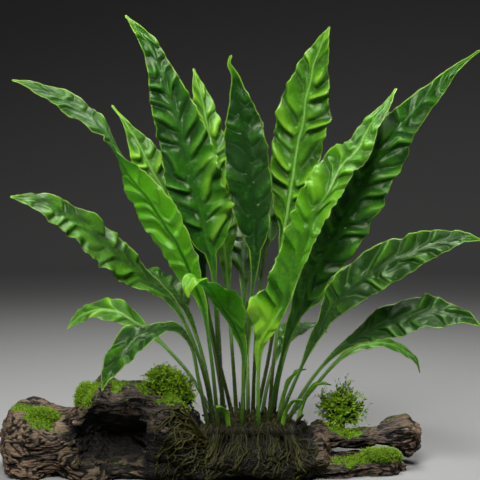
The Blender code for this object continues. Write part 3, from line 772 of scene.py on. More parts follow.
@dataclass(frozen=True)
class Frond:
    """One frond, as seen from the front.

    Attributes:
        frills: Lobed stretches of an edge: two shares of the blade, 1 for the right or -1, a height.
        paler: Shares of the blade, and how much paler it is there.
    """

    heel: tuple[float, float]  # the x and y where it leaves the rhizome
    stalk: tuple  # rows of across, up and depth
    blade: tuple  # the same, with the half width, or one for its left and one for its right
    faces: tuple  # shares of the blade, and the way its upper side faces there
    tone: Tone = Tone.MIDDLE
    light: float = 0.4  # how bright its green is, from 0 to 1: painted light or shade for the whole frond, as well as how fresh it is
    ruffle: float = 1.0  # how much its edges wave
    quilt: float = 1.0  # how much it swells between its side veins
    frills: tuple[tuple[float, float, int, float], ...] = ()
    paler: tuple[tuple[float, float], ...] = ((0.0, 0.0), (0.84, 0.0), (1.0, 0.45))
    columns: int = 37  # points across each side of the blade
    crown: float = 27.5  # the height that it starts at

    def midline(self) -> tuple[Array, int]:
        """The line of the frond.

        Returns:
            Its rows of place and half widths, and how many of them are stalk.
        """
        first = 1 + len(self.stalk)
        shown = [seen_at(*row[:3]) for row in (*self.stalk, *self.blade)]
        halves = [(SHAPE.stalk_radius,) * 2] * first + [(row[3], row[-1]) for row in self.blade]
        return np.column_stack([[(*self.heel, self.crown), *shown], halves]), first

    def facing(self, share: Array) -> Array:
        """The way that the upper side faces at shares of the blade, without sudden turns."""
        shares = [entry[0] for entry in self.faces]
        ways = unit(np.array([entry[1] for entry in self.faces], float))
        steps = [read_rows(ways, shares, share + shift) for shift in np.linspace(-0.05, 0.05, 7)]
        return unit(np.mean(steps, axis=0))

    def relief(self, along: Array, x: Array, s: Array, half: Array, seed: int) -> tuple[Array, Array]:
        """How high the blade's surface stands over a flat one, and where its side veins are.

        Args:
            along: Distances from the foot of the blade.
            x: Distances from the midrib, negative to the left.
            s: The same, as shares of the half widths.
            half: The half widths.
            seed: The frond's own number.

        Returns:
            The heights, and the phase of the veins, which is a whole number on each vein.
        """
        reach = np.abs(x)
        side = np.sign(x)
        own = seed * 9.0
        drift = 0.8 * noise_at(3, along / 20.0, side * 3.0 + 0.5, own)
        phase = (along - reach * SHAPE.vein_slant - reach**2 * SHAPE.vein_sweep) / SHAPE.vein_gap
        phase = phase + 0.5 * np.clip(x / 3.0, -0.5, 0.5) + drift * ease(1.0, 4.0, reach)
        strength = 0.45 + 1.0 * chance(np.floor(phase) + 100.0 * (x > 0), seed)
        cell = phase - np.floor(phase)
        pillow = strength * ease(0.0, 0.34, cell) * np.clip((1.0 - cell) / 0.78, 0.0, 1.0) - 0.45
        spread = ease(0.02, 0.35, np.abs(s)) * (1.0 - 0.25 * s**4)
        bumps = noise_at(5, phase * 2.3, reach / 8.0, side * 4.0 + own)
        bumps += 0.2 * noise_at(6, x / 2.4, along / 2.4, own)
        size = self.quilt * np.minimum(half / 12.0, 1.0)
        height = size * (SHAPE.swelling * pillow * spread + SHAPE.bubble * bumps * ease(0.5, 4.0, reach))
        slow = np.sin(2.0 * np.pi * along / 27.0 + seed + 1.7 * (x > 0))
        crimp = noise_at(4, along / 7.5, side * 5.0 + 0.5, own)
        height += self.ruffle * half * np.abs(s) ** 2.5 * (0.09 * slow + 0.15 * crimp)
        return height + SHAPE.keel * reach, phase

    def frill(self, share: Array, s: Array, inner: float = 0.25, outer: float = 0.95) -> Array:
        """How high each place stands in a frill.

        Args:
            share: Shares of the blade.
            s: Shares of the half width, negative to the left.
            inner: Where the frill starts to rise.
            outer: Where it is at its highest.

        Returns:
            The heights, as shares of the half width.
        """
        total = np.zeros(np.broadcast_shapes(share.shape, s.shape))
        for start, stop, side, high in self.frills:
            within = ease(start - 0.05, start + 0.04, share) * ease(stop + 0.05, stop - 0.04, share)
            total = total + high * within * ease(inner, outer, s * side)
        return total

    def course(self, seed: int) -> Course:
        """Sets out the rings along the midline, with the blade's roll and the slight strays of its rib.

        Args:
            seed: The frond's own number.

        Returns:
            The rings.
        """
        rows, first = self.midline()
        rows = smooth_rows(rows, ROW_STEPS)
        at = np.concatenate([[0.0], np.cumsum(np.linalg.norm(np.diff(rows[:, :3], axis=0), axis=1))])
        foot, whole = at[first * ROW_STEPS], at[-1]
        stalk_rings = max(round(foot / SHAPE.stalk_gap), SHAPE.least_stalk_rings)
        blade_rings = min(round((whole - foot) / SHAPE.ring_gap), SHAPE.most_blade_rings)
        stalk_at = np.linspace(-SHAPE.sunk, foot, stalk_rings, endpoint=False)
        stations = np.concatenate([stalk_at, np.linspace(foot, whole, blade_rings)])
        tangents = unit(np.gradient(rows[:, :3], axis=0))
        line = read_rows(rows, at, stations)
        way = unit(read_rows(tangents, at, stations))
        centre = line[:, :3] + tangents[0] * np.minimum(stations, 0.0)[:, None]
        share = (stations - foot) / (whole - foot)
        wanted = self.facing(np.clip(share, 0.0, 1.0))
        up = unit(wanted - way * np.sum(wanted * way, axis=1, keepdims=True))
        roll = (SHAPE.roll * noise_at(8, stations / 38.0, seed, 0.5) * ease(0.0, 0.3, share))[:, None]
        up = up * np.cos(roll) + np.cross(way, up) * np.sin(roll)
        side = np.cross(way, up)
        wiggle = SHAPE.wiggle * noise_at(10, stations / 14.0, seed, 7.5)
        centre = centre + side * (wiggle * ease(0.0, 0.2, share) * ease(1.0, 0.9, share))[:, None]
        return Course(stations, foot, whole, centre, side, up, line[:, 3:])

    @staticmethod
    def half_widths(course: Course, s: Array) -> Array:
        """The half widths, never less than the stalk, its wings and the round tip need.

        Args:
            course: The rings.
            s: Shares of the half width, negative to the left.

        Returns:
            One for each ring and share.
        """
        share = np.clip(course.share, 0.0, 1.0)
        stem = SHAPE.tip + (SHAPE.stalk_radius - SHAPE.tip) * (1.0 - share)
        from_tip = (course.whole - course.stations)[:, None] / SHAPE.tip_round
        round_end = np.sqrt(np.clip(from_tip * (2.0 - from_tip), 0.0, 1.0))
        round_end = SHAPE.tip_round * np.where(from_tip > 1.0, 1.0, round_end) * ease(0.75, 0.95, share)
        wing = SHAPE.wing * ease(-SHAPE.wing_long, 12.0, course.along) ** 2.4 * ease(0.3, 0.1, share)
        thinnest = np.maximum(np.maximum(stem, round_end), wing)
        left, right = (np.maximum(drawn[:, None], thinnest) for drawn in course.halves.T)
        return np.where(s < 0.0, left, right)

    @staticmethod
    def thickness(course: Course, x: Array, s: Array, half: Array, phase: Array) -> tuple[Array, Array]:
        """How far both sides stand off the middle, with the rib and the side veins.

        Args:
            course: The rings.
            x: Distances from the midrib.
            s: The same as shares.
            half: The half widths.
            phase: The phase of the side veins.

        Returns:
            The distances for the upper side and the lower one.
        """
        taper = 1.0 - 0.8 * np.clip(course.share, 0.0, 1.0)
        tissue = SHAPE.tissue * np.sqrt(np.clip(1.0 - np.abs(s) ** 8, 0.0, 1.0)) * np.minimum(half / 1.2, 1.0)
        rib = np.exp(-((x / SHAPE.rib_wide) ** 2)) * taper
        vein = np.exp(-((np.abs(phase - np.round(phase)) / 0.05) ** 2)) * ease(0.5, 2.0, np.abs(x)) * taper
        stout = 0.55 * np.exp(-np.maximum(course.along, -12.0) / 16.0) * np.exp(-((x / 1.1) ** 2))
        above = tissue * (1.0 + 1.2 * rib * SHAPE.rib_high / SHAPE.tissue) + stout * 0.5
        under = tissue * (1.0 + (rib * SHAPE.rib_low + vein * SHAPE.vein_low) / SHAPE.tissue) + stout
        return above, under

    def build(self, name: str, seed: int) -> Thing:
        """Makes the frond's mesh.

        Args:
            name: The object's name.
            seed: The frond's own number.

        Returns:
            The frond, without its material.
        """
        course = self.course(seed)
        s = np.linspace(-1.0, 1.0, self.columns)[None, :]
        half = self.half_widths(course, s)
        flat = s * half
        along = np.broadcast_to(course.along, half.shape)
        height, phase = self.relief(along, flat, s, half, seed)
        frill = self.frill(course.share, s)
        edge = np.sign(s) * 7.0 + 0.5
        uneven = noise_at(9, along / 3.6, edge, seed)
        swing = noise_at(9, along / 10.0, edge, seed + 40.0)
        wave = SHAPE.scallop * (np.abs(np.sin(np.pi * phase)) - 0.6)
        wave = wave + SHAPE.notch * uneven + SHAPE.lobe * swing + 0.5 * frill * uneven
        opened = ease(-SHAPE.wing_long, SHAPE.opens_over, course.along)
        x = flat * (1.0 + wave * np.abs(s) ** 3 * opened)
        lobes = 0.55 + 0.5 * np.sin(2.0 * np.pi * along / SHAPE.lobe_gap + seed) + 0.45 * uneven
        lift = height + frill * half * lobes
        above, under = self.thickness(course, x, s, half, phase)
        turn = np.linspace(0.0, math.pi, self.columns)
        round_off = np.exp(-np.maximum(course.stations, 0.0) / 12.0)[:, None]
        radius = blend(SHAPE.stalk_radius, SHAPE.heel_radius, round_off)
        wide = blend(-np.cos(turn) * radius * SHAPE.stalk_flat, x, opened)
        high = blend(np.sin(turn) * radius, lift + above, opened)
        low = blend(-np.sin(turn) * radius, lift - under, opened)

        def ring(upper: Array, lower: Array | None = None) -> Array:
            """The values right round each ring: the upper side's, then the lower side's or the same."""
            back = upper if lower is None else lower
            return np.concatenate([upper, back[:, -2:0:-1]], axis=1)

        rings = course.centre[:, None] + course.side[:, None] * ring(wide)[..., None]
        rings = rings + course.up[:, None] * ring(high, low)[..., None]
        is_upper = ring(np.ones_like(high), np.zeros_like(low))
        is_upper[:, [0, self.columns - 1]] = 0.5
        # The frills are painted paler, as painted light falling on them and shining through them.
        lit_frill = self.frill(course.share, s, -0.05, 0.5)
        # Swellings are paler and creases darker: partly the paler tissue between the veins, partly painted
        # highlight on the swellings and painted shade in the creases.
        painted_relief_light = np.clip(height - SHAPE.keel * np.abs(flat), -1.5, 1.5)
        painted_relief_light = 0.34 * painted_relief_light * (1.0 - np.minimum(4.0 * lit_frill, 0.7))
        tone = self.light + np.interp(course.share, *zip(*self.paler)) + painted_relief_light + 2.7 * lit_frill
        marks = {
            "place": stack(ring(flat), ring(along), ring(phase)),
            "leaf": stack(is_upper, ring(half), opened),
            "tone": ring(tone),
        }
        return skin(name, rings, marks)


@dataclass(frozen=True)
class ArchingFrond(Frond):
    """A frond that rises from its heel and arches outwards on a curve of three knees."""

    stalk: tuple = ()
    blade: tuple = ()
    faces: tuple = ()
    columns: int = 25
    azimuth: float = 0.0  # the way that it leans, in degrees from +X towards +Y
    reach: float = 50.0  # how far its tip is from its heel
    height: float = 100.0  # the height that its curve heads for
    droop: float = 0.0  # how far its tip falls below that
    half_width: float = 10.0  # half its greatest width
    stalk_share: float = 0.4  # the share of its curve that is stalk

    LOW_KNEE = (0.10, 0.62)
    HIGH_KNEE = (0.50, 1.06)
    LEAN = 0.85
    FULLNESS = 0.8
    STEPS = 12

    def way(self) -> Array:
        """The level direction that the frond leans in."""
        return np.array([math.cos(math.radians(self.azimuth)), math.sin(math.radians(self.azimuth)), 0.0])

    def midline(self) -> tuple[Array, int]:
        """The line of the frond.

        Returns:
            Its rows of place and half widths, and how many of them are stalk.
        """
        heel = np.array([*self.heel, self.crown])
        way = self.way() * self.reach
        rise = UP * (self.height - self.crown)
        knees = (
            heel,
            heel + way * self.LOW_KNEE[0] + rise * self.LOW_KNEE[1],
            heel + way * self.HIGH_KNEE[0] + rise * self.HIGH_KNEE[1],
            heel + way + rise - UP * self.droop,
        )
        a = np.linspace(0.0, 1.0, self.STEPS + 1)[:, None]
        b = 1.0 - a
        weights = (b**3, 3 * a * b**2, 3 * a**2 * b, a**3)
        curve = sum(knee * weight for knee, weight in zip(knees, weights))
        first = round(self.stalk_share * self.STEPS)
        shares = np.linspace(0.0, 1.0, self.STEPS + 1 - first)
        bulge = np.clip(np.sin(np.pi * shares**self.LEAN), 0.0, 1.0)
        halves = np.full((self.STEPS + 1, 2), SHAPE.stalk_radius)
        halves[first:] = (self.half_width * bulge**self.FULLNESS)[:, None]
        return np.column_stack([curve, halves]), first

    def facing(self, share: Array) -> Array:
        """The way that the upper side faces at shares of the blade."""
        ends = unit(np.array([-self.way(), UP - self.way() * 0.3]))
        return unit(read_rows(ends, [0.0, 1.0], share))


SHOWN_FRONDS: dict[str, Frond] = {
    "tall_left": Frond(
        heel=(-9, -2), stalk=((-13, 71, -6), (-15, 101, -9)),
        blade=(
            (-17, 126, -10, 1), (-20, 136, -11, 8, 13), (-22, 147, -12, 12, 17), (-26, 163, -12, 15, 18),
            (-32, 187, -11, 15, 17), (-40, 216, -8, 13, 12), (-49, 242, -4, 7), (-60, 262, 0, 3.5),
            (-69, 272, 2, 0),
        ),
        faces=((0, (0.1, -1, 0)), (1, (0.1, -1, 0.2))),
        frills=((0.05, 0.42, 1, 0.2),),
        paler=((0, 0.1), (0.15, 0.1), (0.3, 0), (0.78, 0), (0.9, 0.4), (1, 0.9)),
        quilt=1.15, tone=Tone.DARK, light=0.38,
    ),
    "left_of_centre": Frond(
        heel=(-2, 10), stalk=((-5, 75, 18), (-7, 100, 24)),
        blade=(
            (-8, 118, 28, 1), (-10, 140, 32, 9, 8), (-12, 163, 35, 13, 11), (-16, 188, 38, 13, 11),
            (-20, 210, 41, 10, 8), (-24, 226, 44, 5), (-28, 240, 47, 0),
        ),
        faces=((0, (0.1, -1, 0.1)), (1, (0.3, -1, 0.5))),
        quilt=1.3, light=0.85,
    ),
    "centre": Frond(
        heel=(1, -2), stalk=((4, 77, 0), (7, 104, 2)),
        blade=(
            (9, 125, 3, 1), (9, 138, 4, 7), (8, 155, 5, 12, 11), (5, 180, 6, 14, 13), (2, 204, 7, 11, 12),
            (-1, 223, 8, 5, 7), (-4, 236, 8, 1.2, 3), (-7, 243, 6, 1, 1.4), (-5, 248, 5, 0),
        ),
        faces=((0, (0, -1, 0)), (1, (-0.1, -1, 0.1))),
        paler=((0, 0), (0.86, 0.1), (0.93, 1.1), (1, 1.1)),
        quilt=0.3, tone=Tone.DARK, light=0.0,
    ),
    "tall_right": Frond(
        heel=(10, 10), stalk=((19, 77, 16), (23, 108, 19)),
        blade=(
            (26, 138, 21, 1), (28, 151, 22, 7, 6), (30, 164, 23, 11), (34, 190, 24, 16, 15),
            (37, 206, 24, 17, 16), (40, 224, 24, 14), (44, 240, 24, 10), (49, 255, 23, 4.5, 5.5),
            (54, 265, 22, 0),
        ),
        faces=((0, (-0.1, -1, 0.1)), (1, (-0.3, -1, 0.2))),
        quilt=1.4, light=0.7,
    ),
    "front_right": Frond(
        heel=(11, -14), stalk=((11, 55, -25),),
        blade=(
            (12, 74, -32, 1), (20, 88, -38, 16, 2.5), (28, 102, -41, 14, 3), (35, 124, -42, 12, 4),
            (43, 148, -41, 13, 7), (53, 167, -38, 13, 8), (60, 180, -34, 12, 9), (71, 193, -28, 8),
            (81, 210, -19, 5), (89, 220, -12, 2.5), (94, 228, -6, 0),
        ),
        faces=((0, (0, -1, 0.1)), (0.5, (-0.1, -1, 0.2)), (1, (-0.3, -0.8, 0.6))),
        frills=((0, 0.14, -1, 0.22), (0.22, 0.6, -1, 0.18), (0.3, 0.6, 1, 0.2)),
        # Paler at its foot, where light shines through it, and darker from about a sixth to two fifths of its
        # length: painted light and painted shade.
        paler=((0, 0.9), (0.09, 0.7), (0.17, -0.4), (0.42, -0.35), (0.6, 0), (0.9, 0), (1, 0.4)),
        ruffle=1.5, quilt=1.2, tone=Tone.LIT, light=0.6,
    ),
    "long_right": Frond(
        heel=(17, -2), stalk=((24, 62, -6),),
        blade=(
            (30, 84, -9, 1), (37, 101, -11, 6, 7), (46, 120, -13, 9, 11), (57, 139, -14, 12, 14),
            (67, 157, -13, 13, 15), (76, 174, -11, 13, 15), (87, 193, -8, 12, 14), (101, 211, -3, 9),
            (117, 228, 4, 5, 6), (130, 240, 10, 2.5), (144, 251, 16, 0),
        ),
        faces=((0, (0.1, -1, 0)), (1, (-0.1, -1, 0.3))),
        tone=Tone.DARK, light=0.45,
    ),
    "arching_right": Frond(
        heel=(23, -2), stalk=((36, 59, -14),),
        blade=(
            (44, 77, -20, 1), (50, 87, -24, 4, 3), (58, 98, -28, 9, 7), (70, 111, -32, 12, 11),
            (84, 120, -35, 13, 12), (98, 127, -37, 12, 11), (113, 134, -38, 9), (130, 138, -38, 5.5, 5),
            (146, 137, -38, 0),
        ),
        faces=((0, (0.1, -0.9, 0.4)), (1, (0.1, -0.8, 0.6))),
        light=0.0,
    ),
    "low_right": Frond(
        heel=(29, -2), stalk=((38, 46, -6), (50, 62, -9)),
        blade=(
            (62, 73, -12, 1), (72, 79, -15, 5), (84, 85, -19, 9), (97, 90, -23, 11), (110, 93, -27, 11),
            (122, 93, -31, 9), (134, 91, -34, 5.5), (145, 85, -37, 0),
        ),
        faces=((0, (0, -0.8, 0.5)), (1, (0, -0.7, 0.7))),
        light=-0.15,
    ),
    "drooping_right": Frond(
        heel=(30, 10), stalk=((44, 48, 20), (56, 62, 28)),
        blade=(
            (66, 70, 33, 1), (76, 74, 37, 5), (88, 75, 41, 6.5), (98, 71, 44, 6), (105, 65, 46, 3.5),
            (108, 57, 48, 0),
        ),
        faces=((0, (0, -0.4, 1)), (1, (0.7, -0.4, 0.6))),
        tone=Tone.LIT, light=0.6,
    ),
    "twisted_left": Frond(
        heel=(-13, -14), stalk=((-18, 72, -20),),
        blade=(
            (-23, 100, -25, 1), (-26, 108, -27, 4, 6), (-31, 120, -29, 7, 9), (-39, 136, -30, 9, 11),
            (-46, 148, -30, 11, 12), (-55, 162, -29, 10, 11), (-64, 173, -27, 9), (-72, 184, -25, 8),
            (-77, 194, -23, 8), (-85, 205, -20, 8), (-96, 214, -16, 7.5), (-108, 222, -12, 6),
            (-123, 229, -8, 3.5), (-137, 233, -5, 0),
        ),
        faces=(
            (0, (0.2, 1, 0)), (0.42, (0.3, 1, 0.2)), (0.56, (0.9, 0.1, 0.5)), (0.7, (0.3, -0.8, 0.7)),
            (1, (0.1, -0.8, 0.6)),
        ),
        paler=((0, 0), (0.5, 0), (0.6, -0.45), (0.93, -0.4), (1, 0.3)),
        tone=Tone.LIT, light=0.55,
    ),
    "wavy_left": Frond(
        heel=(-16, -2), stalk=((-22, 58, -12), (-31, 83, -20)),
        blade=(
            (-41, 100, -27, 1), (-51, 109, -33, 6, 5), (-59, 115, -37, 9, 6), (-70, 126, -42, 13, 8),
            (-83, 138, -47, 14.5, 9), (-96, 147, -51, 14, 9), (-108, 154, -55, 11, 8),
            (-122, 160, -59, 6.5, 6), (-138, 163, -63, 0),
        ),
        faces=((0, (0.1, -0.8, 0.6)), (1, (0.1, -0.8, 0.6))),
        frills=((0.05, 0.8, -1, 0.16),),
        ruffle=1.4, light=0.2,
    ),
    "drooping_left": Frond(
        heel=(-19, -14), stalk=((-25, 54, -24), (-30, 75, -31)),
        blade=(
            (-36, 83, -37, 1), (-45, 85, -42, 3), (-54, 82, -46, 6), (-63, 77, -49, 9), (-70, 70, -52, 9),
            (-76, 62, -54, 7), (-80, 55, -56, 4), (-83, 46, -58, 0),
        ),
        faces=((0, (0.2, -0.8, 0.6)), (0.4, (-0.1, -0.8, 0.7)), (1, (-0.8, -0.7, 0.1))),
        light=0.0,
    ),
    "rear_left_low": Frond(
        heel=(-16, 10), stalk=((-30, 56, 24), (-44, 72, 36)),
        blade=(
            (-55, 82, 44, 1), (-64, 89, 49, 6), (-74, 94, 53, 9), (-86, 95, 57, 9), (-96, 91, 60, 6.5),
            (-104, 83, 63, 0),
        ),
        faces=((0, (0, -0.6, 0.8)), (1, (-0.4, -0.6, 0.7))),
        light=0.7,
    ),
    "rear_left": Frond(
        heel=(-9, 10), stalk=((-17, 80, 22),),
        blade=(
            (-24, 112, 28, 1), (-29, 127, 31, 7), (-36, 144, 34, 11), (-43, 160, 37, 13),
            (-50, 175, 40, 13), (-58, 190, 43, 9.5), (-67, 205, 46, 3), (-77, 218, 49, 0),
        ),
        faces=((0, (0.2, -1, 0.2)), (1, (0.3, -1, 0.6))),
        quilt=1.3, light=0.8,
    ),
    "curled_front": Frond(
        heel=(1, -14), stalk=((2, 52, -27),),
        blade=(
            (1, 76, -38, 1), (-5, 88, -44, 9, 4), (-11, 98, -49, 13, 5), (-17, 106, -54, 14, 6),
            (-23, 112, -59, 12, 7), (-28, 114, -63, 6), (-31, 109, -66, 4), (-31, 102, -66, 0),
        ),
        faces=((0, (0.3, 1, 0.2)), (0.6, (0.4, 0.7, 0.8)), (0.82, (0, -0.3, 1)), (1, (-0.6, -1, 0.2))),
        frills=((0.55, 0.75, 1, 0.2),),
        paler=((0, 0), (0.6, 0), (0.78, 0.6), (1, 1.1)),
        ruffle=0.6, tone=Tone.LIT, light=0.35,
    ),
    "shaded_centre": Frond(
        heel=(-5, 21), stalk=((-16, 80, 14), (-20, 100, 13)),
        blade=(
            (-23, 116, 12, 1), (-25, 132, 12, 10, 9), (-28, 150, 13, 12, 11), (-31, 168, 14, 9, 8),
            (-35, 186, 15, 0),
        ),
        faces=((0, (0, -1, 0)), (1, (0.1, -1, 0.3))),
        tone=Tone.DARK, light=0.05,
    ),
}
# Heel x and y, azimuth, reach, height, droop and half width of the fronds behind the ones shown
REAR_ROWS = (
    (2, 21, 88, 62, 152, 10, 14), (8, 21, 66, 58, 176, 8, 14), (-11, 21, 112, 62, 172, 8, 13),
    (21, 21, 38, 72, 116, 10, 12), (-17, 21, 140, 76, 120, 12, 12), (14, 21, 58, 84, 88, 20, 12),
    (5, 10, 92, 84, 104, 22, 12), (18, 10, 52, 62, 148, 10, 12),
)
# The same of the young ones
YOUNG_ROWS = (
    (25, -14, -30, 14, 44, 0, 3), (-7, -14, 235, 12, 40, 0, 3), (35, -2, 20, 22, 52, 4, 4),
    (24, 10, 20, 18, 56, 0, 4),
)


def arching(kind: str, rows: tuple, **shared: object) -> dict[str, ArchingFrond]:
    """Numbers arching fronds of one kind.

    Args:
        kind: What their names start with.
        rows: Their own values.
        shared: The values that they share.

    Returns:
        The fronds by name.
    """
    names = ("azimuth", "reach", "height", "droop", "half_width")
    fronds = [ArchingFrond(heel=row[:2], **dict(zip(names, row[2:])), **shared) for row in rows]
    return {f"{kind}_{i}": frond for i, frond in enumerate(fronds, 1)}


REAR_FRONDS = arching("rear", REAR_ROWS, light=0.3, quilt=0.6)
YOUNG_FRONDS = arching("young", YOUNG_ROWS, stalk_share=0.5, tone=Tone.YOUNG, light=0.6, columns=13)


@dataclass(frozen=True)
class FrondClump:
    """All the fronds of the plant."""

    fronds: dict[str, Frond]

    def build(self) -> None:
        """Makes, dresses and places every frond."""
        finishes = {tone: tone.value.build() for tone in Tone}
        for seed, (name, frond) in enumerate(self.fronds.items()):
            leaf = frond.build(f"leaf_{name}", seed)
            leaf.data.materials.append(finishes[frond.tone])
            set_in_place(leaf, f"frond_{name}", frond.tone.value.slot)


# Driftwood

FORK_LEFT = -50.0
FORK_RIGHT = 48.0


@dataclass(frozen=True)
class WoodShape:
    """The forms that all the driftwood shares."""

    squareness: float = 2.5
    knobs: tuple = ((3, 0.11, 0.035), (5, -0.17, 0.035), (8, 0.06, 0.022))
    hollow_middle: float = -72.0
    hollow_half_length: float = 19.0
    hollow_turn: float = math.radians(172.0)
    hollow_half_angle: float = math.radians(30.0)
    hollow_depth: float = 0.70
    hollow_edge: int = 4
    sunk: float = 4.0  # how far an end runs into the next limb
    shrunk: float = 2.4  # how much slimmer it is there
    inside: float = 0.9  # how near the surface still counts as inside


WOOD = WoodShape()


def wood_relief(places: Array) -> tuple[Array, Array]:
    """The relief of weathered wood, whose grain runs along x.

    Args:
        places: Points of the plain form.

    Returns:
        How far each point stands out, and how much painted shade it takes in cracks, in the gaps between
        lumps and under the edges of flakes, from 0 to 1.
    """
    warp = stack(*(noise(places / 24.0, 31 + i) for i in range(3))) * 5.0
    moved = places + warp
    layers = noise(moved / (42.0, 9.0, 6.5), 34) * 2.6
    step = layers - np.floor(layers)
    flakes = np.floor(layers) + ease(0.70, 1.0, step)
    under_edge = ease(0.62, 0.74, step) * ease(0.98, 0.80, step) * ease(-0.3, 0.3, noise(places / 12.0, 39))
    strands = noise((places + warp * (0.5, 0.4, 0.4)) / (22.0, 3.6, 2.8), 35)
    split = ease(-0.32, -0.62, strands) * ease(-0.2, 0.4, noise(places / (11.0, 5.0, 5.0), 40))
    fibres = noise(moved / (8.0, 1.5, 1.2), 36)
    lumps = noise((places + warp * 0.3) / (4.6, 2.4, 2.1), 37)
    rough = ease(-0.4, 0.4, noise(places / 22.0, 38))
    height = 1.2 * noise(places / 19.0, 41) + 0.7 * noise(places / 8.0, 42)
    height += 0.75 * flakes + 0.6 * strands + 0.28 * fibres + blend(0.25, 0.85, rough) * lumps
    height -= 0.9 * under_edge + 1.5 * split + 0.3
    # Painted shade under the edges of flakes, in cracks and in the low parts of the strands, lumps and
    # fibres.
    shade = np.maximum(under_edge * 0.7, split)
    shade = shade + ease(0.1, -0.5, strands) * 0.30 + ease(0.0, -0.55, lumps) * blend(0.2, 0.6, rough)
    shade = np.clip(shade + ease(-0.1, -0.6, fibres) * 0.25, 0.0, 1.0)
    return height, shade


@dataclass(frozen=True)
class Limb:
    """A limb of the driftwood."""

    rows: tuple  # x, front, back, lowest and highest
    rings: int  # how many sections it has
    sides: int  # how many points a section has
    pale: tuple  # places along x, and how pale the wood is there
    joins: tuple[bool, bool]  # whether its start and its stop run into another limb
    bulge: float = 2.0  # how far its open ends stand out
    in_plant_shade: bool = False  # whether it is painted dark with the shade of the fern and its roots
    lip: float = 0.0  # how much paler its foot is
    bare: tuple = ()  # spots without bark: x, y, z, a radius, how much paler
    mossy: tuple = ()  # spots with moss: x, y, z, a radius

    CAP_RINGS = 16
    POCKET_X = -97.0
    POCKET_Z = 27.5
    POCKET_HALF_X = 8.5
    POCKET_HALF_Z = 5.5
    POCKET_DEEP = 6.5
    POCKET_RIM = 1.8

    @property
    def ends(self) -> tuple[float, float]:
        """Where it starts and where it stops along x."""
        return self.rows[0][0], self.rows[-1][0]

    def plain(self, x: Array, turn: Array, slimmer: float | Array = 0.0) -> Array:
        """Points of the plain form, above the ground or below.

        Args:
            x: Places along the limb.
            turn: Turns about it.
            slimmer: How much less its radius is.

        Returns:
            The points.
        """
        rows = np.array([(row[0], 0.0, 0.0, *row[1:]) for row in self.rows], float)
        fine = smooth_rows(rows, ROW_STEPS)
        front, back, lowest, highest = (np.interp(x, fine[:, 0], limit) for limit in fine.T[3:])
        cosine, sine = np.cos(turn), np.sin(turn)
        power = WOOD.squareness
        size = (np.abs(cosine) ** power + np.abs(sine) ** power) ** (-1.0 / power)
        knobs = sum(high * np.sin(count * turn + x * twist) for count, twist, high in WOOD.knobs)
        size = size * (1.0 + knobs)
        uneven = (2.4 * np.sin(turn * 11.0 + 0.6) + 1.5 * np.sin(turn * 23.0)) * ease(-72.0, -62.0, x)
        size = size * (1.0 - WOOD.hollow_depth * self.hollow(x + uneven, turn))
        y = (front + back) / 2.0 + ((back - front) / 2.0 - slimmer) * size * cosine
        z = (lowest + highest) / 2.0 + ((highest - lowest) / 2.0 - slimmer) * size * sine
        return stack(x, y, z)

    def hollow(self, x: Array, turn: Array, longer: float = 0.0, wider: float = 1.0) -> Array:
        """How far inside the hollow under the ledge each place is.

        Args:
            x: Places along the limb.
            turn: Turns about it.
            longer: How much more of its length counts.
            wider: How many times its width.

        Returns:
            Values from 0 to 1.
        """
        if self.ends[0] >= FORK_LEFT:
            return np.zeros(x.shape)
        along = np.abs((x - WOOD.hollow_middle) / (WOOD.hollow_half_length + longer)) ** WOOD.hollow_edge
        around = np.abs((turn - WOOD.hollow_turn) / (WOOD.hollow_half_angle * wider)) ** WOOD.hollow_edge
        return np.exp(-along - around)

    def holds(self, places: Array) -> Array:
        """Whether each place is well inside the limb.

        Args:
            places: The places.

        Returns:
            Yes or no for each.
        """
        start, stop = self.ends
        x = np.clip(places[..., 0], start, stop)
        at, *limits = np.array(self.rows, float).T
        front, back, lowest, highest = (np.interp(x, at, limit) for limit in limits)
        across = (places[..., 1] - (front + back) / 2.0) / (back - front) * 2.0
        up = (places[..., 2] - (lowest + highest) / 2.0) / (highest - lowest) * 2.0
        within = np.abs(across) ** WOOD.squareness + np.abs(up) ** WOOD.squareness < WOOD.inside
        return within & (places[..., 0] > start) & (places[..., 0] < stop)

    def outward(self, x: Array, turn: Array) -> Array:
        """The way out of the plain form at places along x and turns about it."""
        step, angle = 0.6, 0.02
        along = self.plain(x + step, turn) - self.plain(x - step, turn)
        around = self.plain(x, turn + angle) - self.plain(x, turn - angle)
        return unit(np.cross(around, along))

    def surface(self, x: Array, turn: Array, proud: float | Array = 0.0) -> Array:
        """Points of the weathered surface, or of one that stands proud of it.

        Args:
            x: Places along the limb.
            turn: Turns about it.
            proud: How far it stands out.

        Returns:
            The points.
        """
        held = np.clip(x, *self.ends)
        height, _ = wood_relief(self.plain(held, turn))
        places = self.plain(x, turn) + self.outward(held, turn) * (height + proud)[..., None]
        places[..., 2] = np.maximum(places[..., 2], 0.0)
        return places

    def build(self, name: str) -> Thing:
        """Makes the limb's mesh.

        Args:
            name: The object's name.

        Returns:
            The limb, without its material.
        """
        start, stop = self.ends
        steps = WOOD.sunk * np.array([0.5, 1.0])
        before = start - steps[::-1] if self.joins[0] else []
        beyond = stop + steps if self.joins[1] else []
        x = np.concatenate([before, np.linspace(start, stop, self.rings), beyond])
        x, turn = np.meshgrid(x, turns(self.sides), indexing="ij")
        held = np.clip(x, start, stop)
        slimmer = WOOD.shrunk * np.abs(x - held) / WOOD.sunk
        base = self.plain(held, turn)
        ways = self.outward(held, turn)
        height, depth, pale = self.mark_pocket(base, *wood_relief(base))
